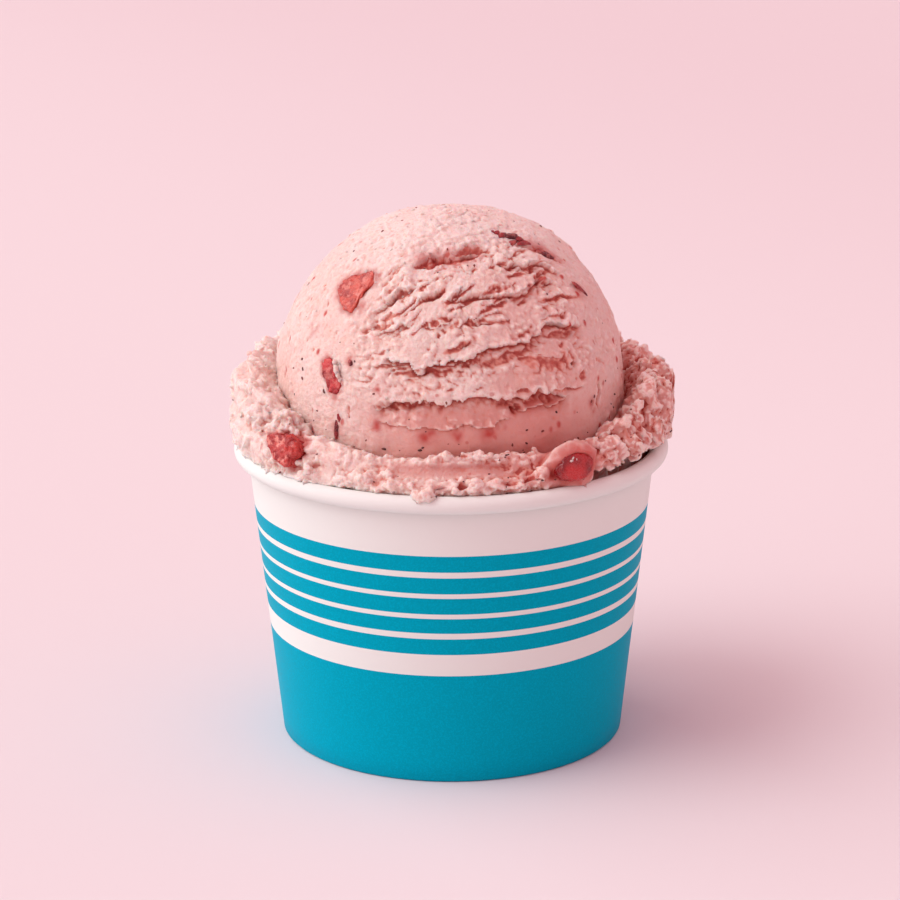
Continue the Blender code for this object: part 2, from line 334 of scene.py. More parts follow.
def joined_blobs(
    name: str,
    places: list[Matrix],
    seed: int,
    roughness: float,
    rings: int = 2,
) -> Piece:
    """Many small uneven blobs as one mesh.

    Args:
        name: the new piece's name.
        places: place, turn and half sizes of each blob.
        seed: seed of their unevenness.
        roughness: how uneven they are, as a share of their size.
        rings: subdivisions of each blob.

    Returns:
        The joined piece.
    """
    deselect_all()
    bpy.ops.mesh.primitive_ico_sphere_add(subdivisions=rings, radius=1.0)
    piece = bpy.context.active_object
    piece.name = name
    ball = read_points(piece)
    faces = np.array([face.vertices[:] for face in piece.data.polygons])
    rough = LatticeNoise(seed)
    corners, triangles = [], []
    for number, place in enumerate(places):
        shift = np.array([number * 3.7, number * 1.3, seed])
        swell = 1.0 + roughness * rough(ball + shift, 0.9)
        corners.append(moved_by(place, ball * swell[:, None]))
        triangles.append(faces + number * len(ball))
    mesh = bpy.data.meshes.new(name)
    mesh.from_pydata(np.concatenate(corners).tolist(), [], np.concatenate(triangles).tolist())
    old = piece.data
    piece.data = mesh
    bpy.data.meshes.remove(old)
    return piece


def finish_piece(
    piece: Piece,
    materials: list[Material],
    nodes: tuple[str, ...] = (),
) -> None:
    """Dress a finished piece and tie it to the frame.

    Args:
        piece: the mesh piece, in place.
        materials: its materials in slot order.
        nodes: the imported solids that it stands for.
    """
    take(piece)
    bpy.ops.object.transform_apply(location=True, rotation=True, scale=True)
    bpy.ops.object.shade_smooth()
    for material in materials:
        piece.data.materials.append(material)
    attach(piece, BODY)
    if nodes:
        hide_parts(*nodes)
    triangles = sum(len(face.vertices) - 2 for face in piece.data.polygons)
    log.info("%s: %d triangles", piece.name, triangles)


class NodeBench:
    """Builds one node tree: a material's or a group's."""

    COLOUR_MIX_INPUTS = (0, 6, 7)
    COLOUR_MIX_OUTPUT = 2

    def __init__(self, tree: bpy.types.NodeTree) -> None:
        """Keep the tree."""
        self.tree = tree

    def add(self, kind: str, inputs: dict | None = None, **settings: object) -> bpy.types.Node:
        """Add a node, with values for its inputs and its own settings."""
        node = self.tree.nodes.new(kind)
        for name, value in settings.items():
            setattr(node, name, value)
        self.fill(node, inputs or {})
        return node

    def fill(self, node: bpy.types.Node, inputs: dict) -> None:
        """Give a node's named inputs their values or links."""
        for name, value in inputs.items():
            self.feed(node.inputs[name], value)

    def feed(self, socket: Socket, value: object) -> None:
        """Link an output to a socket, or set the socket's own value."""
        if isinstance(value, Socket):
            self.tree.links.new(value, socket)
        else:
            socket.default_value = value

    def maths(self, operation: str, *values: object) -> Socket:
        """A Math node of its values' result."""
        node = self.add("ShaderNodeMath", operation=operation)
        for socket, value in zip(node.inputs, values):
            self.feed(socket, value)
        return node.outputs[0]

    def noise(
        self, place: object, scale: float, detail: float = 2.0, rough: float = 0.5
    ) -> Socket:
        """Noise from 0 to 1 on a place socket, its scale in lumps per metre."""
        values = {"Vector": place, "Scale": scale, "Detail": detail, "Roughness": rough}
        return self.add("ShaderNodeTexNoise", values).outputs["Fac"]

    def ramp(self, value: object, low: float, high: float) -> Socket:
        """Rise smoothly from 0 at low to 1 at high."""
        values = {"Value": value, "From Min": low, "From Max": high}
        node = self.add("ShaderNodeMapRange", values, interpolation_type="SMOOTHSTEP")
        return node.outputs["Result"]

    def mix(self, share: object, first: object, second: object) -> Socket:
        """Mix two colours."""
        node = self.add("ShaderNodeMix", data_type="RGBA")
        for number, value in zip(self.COLOUR_MIX_INPUTS, (share, first, second)):
            self.feed(node.inputs[number], value)
        return node.outputs[self.COLOUR_MIX_OUTPUT]

    def bump(self, height: object, strength: float, distance: float) -> Socket:
        """A normal that is bent by a height."""
        values = {"Height": height, "Strength": strength, "Distance": distance}
        return self.add("ShaderNodeBump", values).outputs["Normal"]

    def attribute(self, name: str) -> Socket:
        """One of the numbers kept on the mesh."""
        return self.add("ShaderNodeAttribute", attribute_name=name).outputs["Fac"]

    def object_place(self) -> Socket:
        """Place on the piece, in metres."""
        return self.add("ShaderNodeTexCoord").outputs["Object"]


class SharedEffects:
    """Shader node groups that more than one finish uses."""

    @staticmethod
    def socket(tree: bpy.types.NodeTree, name: str, way: str, kind: str, value: object = None) -> None:
        """Give a group one named input or output."""
        made = tree.interface.new_socket(name, in_out=way, socket_type=kind)
        if value is not None:
            made.default_value = value

    @classmethod
    def grain(cls) -> bpy.types.NodeTree:
        """Fine two-sized surface grain, as a height and a mask."""
        name = "fine_grain"
        if name in bpy.data.node_groups:
            return bpy.data.node_groups[name]
        tree = bpy.data.node_groups.new(name, "ShaderNodeTree")
        cls.socket(tree, "Place", "INPUT", "NodeSocketVector")
        cls.socket(tree, "Coarse", "INPUT", "NodeSocketFloat", 1000.0)
        cls.socket(tree, "Fine", "INPUT", "NodeSocketFloat", 3000.0)
        cls.socket(tree, "Height", "OUTPUT", "NodeSocketFloat")
        cls.socket(tree, "Speckle", "OUTPUT", "NodeSocketFloat")
        bench = NodeBench(tree)
        given = bench.add("NodeGroupInput").outputs
        coarse = bench.noise(given["Place"], 1.0, 3.0)
        fine = bench.noise(given["Place"], 1.0, 2.0, 0.6)
        tree.links.new(given["Coarse"], coarse.node.inputs["Scale"])
        tree.links.new(given["Fine"], fine.node.inputs["Scale"])
        height = bench.maths("MULTIPLY_ADD", fine, 0.5, coarse)
        bench.add("NodeGroupOutput", {"Height": height, "Speckle": bench.ramp(fine, 0.42, 0.66)})
        return tree

    @classmethod
    def place_grain(cls, bench: NodeBench, coarse: float, fine: float) -> bpy.types.Node:
        """Put the grain group into a material, with its lumps per metre."""
        node = bench.add("ShaderNodeGroup", node_tree=cls.grain())
        bench.fill(node, {"Place": bench.object_place(), "Coarse": coarse, "Fine": fine})
        return node


def new_material(name: str) -> tuple[Material, NodeBench, bpy.types.Node]:
    """A material with its bench and its Principled shader."""
    material = bpy.data.materials.new(name)
    material.use_nodes = True
    bench = NodeBench(material.node_tree)
    return material, bench, material.node_tree.nodes["Principled BSDF"]


@dataclass(frozen=True)
class PaperFinish:
    """Coated white paper, plain or printed with level bands."""

    name: str = "coated_paper"
    white: Colour = (0.79, 0.865, 0.825, 1.0)
    ink: Colour = (0.0, 0.365, 0.505, 1.0)
    fibre: Colour = (0.76, 0.83, 0.81, 1.0)
    fibre_share: float = 0.10
    fibre_grain: Pair = (900.0, 3600.0)
    fibre_strength: float = 0.35
    fibre_depth: float = 0.00002
    ink_lift: float = 1.18
    roughness: float = 0.42
    rougher: float = 0.08
    sheen: float = 0.02
    bands: tuple[Pair, ...] = ()
    height: float = 0.0528

    def printed(self, bench: NodeBench) -> Socket:
        """1 where the bands' ink lies, by height."""
        parts = bench.add("ShaderNodeSeparateXYZ", {"Vector": bench.object_place()})
        share = bench.maths("DIVIDE", parts.outputs["Z"], self.height)
        steps = bench.add("ShaderNodeValToRGB", {"Fac": share})
        stops = steps.color_ramp
        stops.interpolation = "CONSTANT"
        stops.elements[1].position = 1.0
        stops.elements[1].color = (0.0, 0.0, 0.0, 1.0)
        stops.elements[0].color = (1.0, 1.0, 1.0, 1.0)
        for low, high in self.bands:
            for edge, inked in ((low, 1.0), (high, 0.0)):
                if edge > 0.0:
                    stop = stops.elements.new(edge / self.height)
                    stop.color = (inked, inked, inked, 1.0)
        return steps.outputs["Color"]

    def material(self) -> Material:
        """Build the material."""
        material, bench, shader = new_material(self.name)
        grain = SharedEffects.place_grain(bench, *self.fibre_grain)
        speckle = grain.outputs["Speckle"]
        colour = bench.mix(bench.maths("MULTIPLY", speckle, self.fibre_share), self.white, self.fibre)
        rough = bench.maths("MULTIPLY_ADD", speckle, self.rougher, self.roughness)
        if self.bands:
            light_ink = (*(min(1.0, part * self.ink_lift) for part in self.ink[:3]), 1.0)
            ink = bench.mix(speckle, self.ink, light_ink)
            colour = bench.mix(self.printed(bench), colour, ink)
        normal = bench.bump(grain.outputs["Height"], self.fibre_strength, self.fibre_depth)
        bench.fill(shader, {"Base Color": colour, "Roughness": rough, "Normal": normal})
        bench.fill(shader, {"Specular IOR Level": self.sheen})
        return material


@dataclass(frozen=True)
class IceCreamFinish:
    """Matt, slightly moist strawberry ice cream."""

    name: str = "strawberry_ice_cream"
    cream: Colour = (0.805, 0.700, 0.640, 1.0)
    blush: Colour = (0.80, 0.610, 0.540, 1.0)
    # crest is a painted highlight on crests; shallow and hollow are painted shade in hollows.
    crest: Colour = (0.87, 0.790, 0.730, 1.0)
    # dense stands partly for denser skin and partly for painted shade.
    dense: Colour = (0.685, 0.350, 0.300, 1.0)
    shallow: Colour = (0.72, 0.330, 0.260, 1.0)
    hollow: Colour = (0.50, 0.100, 0.075, 1.0)
    stain: Colour = (0.50, 0.055, 0.040, 1.0)
    glow: float = 0.48
    glow_reach: float = 0.0019
    glow_spread: Triple = (1.0, 0.42, 0.30)
    roughness: float = 0.48
    rougher: float = 0.14
    sheen: float = 0.4
    grain: Pair = (1500.0, 4200.0)
    grain_strength: float = 0.75
    grain_depth: float = 0.00044
    marble_scale: float = 95.0
    fleck_scale: float = 520.0
    crest_share: float = 0.75
    pit_share: float = 0.36
    fleck_share: float = 0.45
    dense_and_shade_share: float = 0.95
    dense_calm: float = 0.6

    def material(self) -> Material:
        """Build the material."""
        material, bench, shader = new_material(self.name)
        place = bench.object_place()
        grain = SharedEffects.place_grain(bench, *self.grain)
        marble = bench.ramp(bench.noise(place, self.marble_scale, 3.0, 0.6), 0.35, 0.68)
        colour = bench.mix(marble, self.cream, self.blush)
        # The dense colour is partly the skin's own denser tone and partly painted shade on the side away from
        # the light.
        dense = bench.maths("MULTIPLY", bench.attribute("dense"), self.dense_and_shade_share)
        colour = bench.mix(dense, colour, self.dense)
        # The paler crest colour on crests is a painted highlight, and the shallow and hollow reds in hollows
        # are painted shade.
        hollow = bench.attribute("hollow")
        crest = bench.ramp(bench.maths("MULTIPLY", hollow, -1.0), 0.05, 0.7)
        colour = bench.mix(bench.maths("MULTIPLY", crest, self.crest_share), colour, self.crest)
        colour = bench.mix(bench.ramp(hollow, 0.12, 0.62), colour, self.shallow)
        colour = bench.mix(bench.ramp(hollow, 0.45, 1.05), colour, self.hollow)
        # The grain's pits take the shallow red: painted shade.
        pit = bench.ramp(bench.maths("MULTIPLY", grain.outputs["Height"], -1.0), -0.74, -0.56)
        colour = bench.mix(bench.maths("MULTIPLY", pit, self.pit_share), colour, self.shallow)
        fleck = bench.ramp(bench.noise(place, self.fleck_scale, 1.0), 0.70, 0.78)
        colour = bench.mix(bench.maths("MULTIPLY", fleck, self.fleck_share), colour, self.stain)
        colour = bench.mix(bench.attribute("stain"), colour, self.stain)
        rough = bench.maths("MULTIPLY_ADD", grain.outputs["Speckle"], self.rougher, self.roughness)
        calm = bench.maths("MULTIPLY_ADD", bench.attribute("dense"), -self.dense_calm, 1.0)
        height = bench.maths("MULTIPLY", grain.outputs["Height"], calm)
        normal = bench.bump(height, self.grain_strength, self.grain_depth)
        bench.fill(shader, {"Base Color": colour, "Roughness": rough, "Normal": normal})
        bench.fill(shader, {"Subsurface Weight": self.glow, "Subsurface Radius": self.glow_spread})
        bench.fill(shader, {"Subsurface Scale": self.glow_reach, "Specular IOR Level": self.sheen})
        return material


@dataclass(frozen=True)
class BerryFinish:
    """Wet frozen strawberry flesh."""

    name: str = "strawberry_flesh"
    deep: Colour = (0.28, 0.015, 0.010, 1.0)
    bright: Colour = (0.60, 0.085, 0.050, 1.0)
    pale: Colour = (0.76, 0.29, 0.23, 1.0)
    net: float = 0.8
    roughness: float = 0.26
    rougher: float = 0.25
    coat: float = 0.0
    coat_roughness: float = 0.06
    glow: float = 0.25
    glow_reach: float = 0.0010
    glow_spread: Triple = (1.0, 0.12, 0.08)
    grain: Pair = (1100.0, 3300.0)
    grain_strength: float = 0.7
    grain_depth: float = 0.0002
    lumps: float = 420.0
    net_scale: float = 820.0

    def material(self) -> Material:
        """Build the material."""
        material, bench, shader = new_material(self.name)
        place = bench.object_place()
        grain = SharedEffects.place_grain(bench, *self.grain)
        flesh = bench.ramp(bench.noise(place, self.lumps, 3.0, 0.65), 0.40, 0.60)
        colour = bench.mix(flesh, self.deep, self.bright)
        cells = bench.ramp(bench.noise(place, self.net_scale, 2.0), 0.50, 0.66)
        core = bench.maths("SUBTRACT", 1.0, bench.attribute("edge"))
        net = bench.maths("MULTIPLY", cells, bench.maths("MULTIPLY", core, self.net))
        colour = bench.mix(net, colour, self.pale)
        rough = bench.maths("MULTIPLY_ADD", grain.outputs["Speckle"], self.rougher, self.roughness)
        normal = bench.bump(grain.outputs["Height"], self.grain_strength, self.grain_depth)
        bench.fill(shader, {"Base Color": colour, "Roughness": rough, "Normal": normal})
        bench.fill(shader, {"Coat Weight": self.coat, "Coat Roughness": self.coat_roughness})
        bench.fill(shader, {"Subsurface Weight": self.glow, "Subsurface Radius": self.glow_spread})
        bench.fill(shader, {"Subsurface Scale": self.glow_reach})
        return material


@dataclass(frozen=True)
class SeedFinish:
    """Dark seeds and skin flecks."""

    name: str = "seed"
    dark: Colour = (0.075, 0.018, 0.014, 1.0)
    brown: Colour = (0.25, 0.060, 0.040, 1.0)
    tone_scale: float = 260.0
    roughness: float = 0.35

    def material(self) -> Material:
        """Build the material."""
        material, bench, shader = new_material(self.name)
        tone = bench.ramp(bench.noise(bench.object_place(), self.tone_scale, 1.0), 0.35, 0.65)
        colour = bench.mix(tone, self.dark, self.brown)
        bench.fill(shader, {"Base Color": colour, "Roughness": self.roughness})
        return material


@dataclass(frozen=True)
class FloorFinish:
    """A matt pale pink table and wall in one, painted a little darker far off and to the right as shade where
    the light falls off.
    """

    name: str = "pale_floor"
    near: Colour = (0.782, 0.765, 0.778, 1.0)
    far: Colour = (0.738, 0.680, 0.702, 1.0)
    far_from: float = 0.10
    far_to: float = 0.95
    right_share: float = 1.9
    roughness: float = 0.9
    sheen: float = 0.15

    def material(self) -> Material:
        """Build the material."""
        material, bench, shader = new_material(self.name)
        parts = bench.add("ShaderNodeSeparateXYZ", {"Vector": bench.object_place()})
        # The darker far colour is painted shade, laid on far off and to the right.
        away = bench.maths("MULTIPLY_ADD", parts.outputs["X"], self.right_share, parts.outputs["Y"])
        share = bench.ramp(away, self.far_from, self.far_to)
        colour = bench.mix(share, self.near, self.far)
        bench.fill(shader, {"Base Color": colour, "Roughness": self.roughness})
        bench.fill(shader, {"Specular IOR Level": self.sheen})
        return material


@dataclass
class PaperCup:
    """The rolled paper wall with its curled rim and hem, and the pressed base.

    The base's rings are shares of its radius, from its shoulder to its centre.
    """

    foot_radius: float = 0.0300
    height: float = 0.0528
    rim_radius: float = 0.0378
    bead: float = 0.0030
    taper: float = 0.107
    paper: float = 0.0005
    gap: float = 0.0003
    hem_height: float = 0.0045
    hem_fold: float = 0.00022
    base_recess: float = 0.0056
    base_shoulder: float = 0.0008
    shoulder_steps: int = 6
    base_rings: tuple[float, ...] = (0.85, 0.6, 0.35, 0.12, 0.01)
    curl_sweep: float = math.radians(285)
    curl_steps: int = 26
    wall_steps: int = 16
    segments: int = 288
    seam_lift: float = 0.0003
    seam_half_angle: float = math.radians(6)
    unevenness: float = 0.00006
    wave_size: float = 0.022
    room_in_cup: float = 0.0002
    room_at_bead: float = 0.00005
    bands: tuple[Pair, ...] = (
        (0.0, 0.01981),
        (0.02388, 0.02676),
        (0.02767, 0.03046),
        (0.03124, 0.03407),
        (0.03502, 0.03790),
        (0.03886, 0.04185),
    )

    def wall_radius(self, height: float) -> float:
        """Outer radius of the wall at a height."""
        return self.foot_radius + self.taper * height

    def bead_middle(self) -> Pair:
        """Radius and height of the middle of the rim's curl."""
        return self.rim_radius - 0.5 * self.bead, self.height - 0.5 * self.bead

    def wall_line(self) -> list[Pair]:
        """The sheet's middle, from inside the hem, under the foot, up and round the curl."""
        half = 0.5 * self.paper
        fold = self.hem_fold
        inset = 2.5 * self.paper + 2.0 * self.gap
        bead_radius = 0.5 * self.bead - half
        middle_r, middle_z = self.bead_middle()
        line = [
            (self.wall_radius(self.hem_height) - inset, self.hem_height),
            (self.wall_radius(half) - inset, half + fold),
            (self.wall_radius(half) - inset + fold, half),
            (self.wall_radius(half) - half - fold, half),
        ]
        top = middle_z - 0.8 * bead_radius
        for step in range(self.wall_steps + 1):
            height = half + fold + (top - half - fold) * step / self.wall_steps
            line.append((self.wall_radius(height) - half, height))
        for step in range(self.curl_steps + 1):
            angle = math.pi - self.curl_sweep * step / self.curl_steps
            line.append((middle_r + bead_radius * math.cos(angle), middle_z + bead_radius * math.sin(angle)))
        return line

    def lift_seam(self, points: Points) -> Points:
        """Raise the strip at the back where the sheet's ends overlap.

        Args:
            points: the sheet's corners.

        Returns:
            The moved corners.
        """
        azimuth = np.arctan2(points[:, 0], points[:, 1])
        inner_edge = ramp(-self.seam_half_angle, -0.3 * self.seam_half_angle, azimuth)
        spread = spreads(points)
        on_wall = spread > self.wall_radius(0.0) - 2.0 * self.paper
        lifted = (np.abs(azimuth) < self.seam_half_angle) & on_wall
        push = np.where(lifted, inner_edge * self.seam_lift, 0.0)
        moved = points.copy()
        moved[:, :2] *= (1.0 + push / spread)[:, None]
        return moved

    def face_out(self, piece: Piece) -> None:
        """Turn the sheet so that its printed side is its front."""
        middle = 0.5 * self.height
        front = [face for face in piece.data.polygons if face.center.y <= 0.0]
        face = min(front, key=lambda item: abs(item.center.z - middle))
        if face.normal.dot(Vector((face.center.x, face.center.y, 0.0))) < 0.0:
            with edit_mode(piece):
                bpy.ops.mesh.flip_normals()

    def build_wall(self, finishes: list[Material]) -> None:
        """Make the wall out of one sheet and give it its thickness."""
        piece = turned_sheet("paper_wall", self.wall_line(), self.segments)
        points = self.lift_seam(read_points(piece))
        outward = points * np.array([1.0, 1.0, 0.0])
        outward /= np.linalg.norm(outward, axis=1, keepdims=True)
        calm = ramp(0.004, 0.015, points[:, 2])
        wave = LatticeNoise(5)(points, self.wave_size) * self.unevenness * calm
        write_points(piece, points + outward * wave[:, None])
        self.face_out(piece)
        apply_modifier(
            piece,
            "SOLIDIFY",
            thickness=self.paper,
            offset=0.0,
            use_even_offset=True,
            material_offset=1,
            material_offset_rim=1,
        )
        finish_piece(piece, finishes, ("cup_wall",))

    def base_line(self) -> list[Pair]:
        """The base's middle, from its flange's foot up and in to its centre."""
        half = 0.5 * self.paper
        foot = self.paper + self.gap
        level = self.base_recess + half
        inset = self.paper + self.gap + half
        shoulder = self.base_shoulder
        edge = self.wall_radius(level) - inset - shoulder
        line = [
            (self.wall_radius(foot) - inset, foot),
            (self.wall_radius(level - shoulder) - inset, level - shoulder),
        ]
        for step in range(1, self.shoulder_steps + 1):
            angle = 0.5 * math.pi * step / self.shoulder_steps
            line.append((edge + shoulder * math.cos(angle), level - shoulder + shoulder * math.sin(angle)))
        for share in self.base_rings:
            line.append((share * (self.wall_radius(level) - inset), level))
        return line

    def build_base(self, finish: Material) -> None:
        """Press the base out of one round sheet."""
        piece = turned_sheet("paper_base", self.base_line(), self.segments // 2)
        with edit_mode(piece):
            bpy.ops.mesh.select_all(action="DESELECT")
        innermost = spreads(read_points(piece)) < 0.001
        piece.data.vertices.foreach_set("select", innermost)
        with edit_mode(piece, whole=False):
            bpy.ops.mesh.select_mode(type="VERT")
            bpy.ops.mesh.merge(type="CENTER")
            bpy.ops.mesh.select_all(action="SELECT")
            bpy.ops.mesh.normals_make_consistent(inside=False)
        apply_modifier(piece, "SOLIDIFY", thickness=self.paper, offset=0.0, use_even_offset=True)
        finish_piece(piece, [finish], ("cup_base",))

    def build(self) -> None:
        """Make and dress both pieces."""
        plain = PaperFinish().material()
        printed = PaperFinish(name="printed_paper", bands=self.bands, height=self.height).material()
        self.build_wall([printed, plain])
        self.build_base(plain)

    def clear_of_cup(self, points: Points) -> Points:
        """Move places out of the wall and the rim's curl.

        Args:
            points: places of the ice cream's surface.

        Returns:
            The places, none of them in the paper.
        """
        moved = points.copy()
        spread = spreads(moved)
        limit = self.wall_radius(0.0) + self.taper * moved[:, 2] - self.paper - self.room_in_cup
        middle_r, middle_z = self.bead_middle()
        inside = moved[:, 2] < middle_z
        wanted = np.where(inside, np.minimum(spread, limit), spread)
        reach_r = wanted - middle_r
        reach_z = moved[:, 2] - middle_z
        reach = np.hypot(reach_r, reach_z)
        least = 0.5 * self.bead + self.room_at_bead
        push = np.where((reach < least) & ~inside, least / np.maximum(reach, 1e-6), 1.0)
        wanted = middle_r + reach_r * push
        moved[:, 2] = middle_z + reach_z * push
        moved[:, :2] *= (wanted / np.maximum(spread, 1e-9))[:, None]
        return moved


def direction(azimuth: float, polar: float) -> Vector:
    """Unit vector of a direction on the scoop, both angles in degrees."""
    side, tilt = math.radians(azimuth), math.radians(polar)
    return Vector((math.sin(side) * math.sin(tilt), -math.cos(side) * math.sin(tilt), math.cos(tilt)))


def upright_on(normal: Vector) -> Matrix:
    """A turn that stands a thing's Z along a normal, with its Y up."""
    return normal.to_track_quat("Z", "Y").to_matrix().to_4x4()


def stretch(sizes: Triple) -> Matrix:
    """A scale along the three axes."""
    return Matrix.Diagonal((*sizes, 1.0))


@dataclass(frozen=True)
class Tear:
    """A torn lip: its path as azimuth and polar angle, and its depths.

    The rise is above the lip and the cut below it. Both fade over the reach,
    and the hang is how far the lip droops.
    """

    path: tuple[Pair, ...]
    rise: float = 0.0005
    cut: float = 0.0011
    reach: float = 0.0024
    hang: float = 0.0005


@dataclass(frozen=True)
class Gouge:
    """A leaf-shaped hollow, painted red as shade: its middle, half length, half width, lean and depth.

    The middle is an azimuth and a polar angle, and the lean is how far its
    right end is turned up, in degrees.
    """

    azimuth: float
    polar: float
    length: float
    width: float
    lean: float
    depth: float = 0.0006

    def reach(self, places: Points, radius: float) -> Points:
        """How far places on a ball of some radius lie from its middle: 1 at its edge."""
        middle = np.array(direction(self.azimuth, self.polar))
        side, tilt = math.radians(self.azimuth), math.radians(self.polar)
        right = Vector((math.cos(side), math.sin(side), 0.0))
        up = Vector((-math.sin(side) * math.cos(tilt), math.cos(side) * math.cos(tilt), math.sin(tilt)))
        turn = math.radians(self.lean)
        along = np.array(right * math.cos(turn) + up * math.sin(turn))
        across = np.array(up * math.cos(turn) - right * math.sin(turn))
        gap = places - middle * radius
        behind = np.where(places @ middle < 0.0, FAR, 0.0)
        return np.hypot((gap @ along) / self.length, (gap @ across) / self.width) + behind


@dataclass(frozen=True)
class Spot:
    """A red stain or fleck: azimuth, polar angle, size and strength."""

    azimuth: float
    polar: float
    size: float
    strength: float = 0.8


@dataclass(frozen=True)
class Berry:
    """One strawberry chunk: its node's number, middle, outward normal, size and outline.

    The outline is the edge's distance every 30 degrees from the right round
    over the top, as a share of the half size.
    """

    number: int
    middle: Vector
    normal: Vector
    size: Triple
    outline: tuple[float, ...]

    def frame(self) -> Matrix:
        """Its place, with its thickness along the surface's normal."""
        return Matrix.Translation(self.middle) @ upright_on(self.normal)

    def edge(self, local: Points) -> Points:
        """Share of the half size at which the outline lies, for local places."""
        turn = np.degrees(np.arctan2(local[:, 1] / self.size[1], local[:, 0] / self.size[0])) % 360.0
        stops = np.arange(len(self.outline) + 1) * (360.0 / len(self.outline))
        return np.interp(turn, stops, (*self.outline, self.outline[0]))

    def footprint(self, points: Points) -> Points:
        """How far places lie from its middle line: 0 on it, 1 at its edge, more outside."""
        local = moved_by(self.frame().inverted(), points)
        flat = np.hypot(local[:, 0] / self.size[0], local[:, 1] / self.size[1]) * 2.0
        behind = np.where(np.abs(local[:, 2]) > 1.5 * self.size[2], FAR, 0.0)
        return flat / self.edge(local) + behind


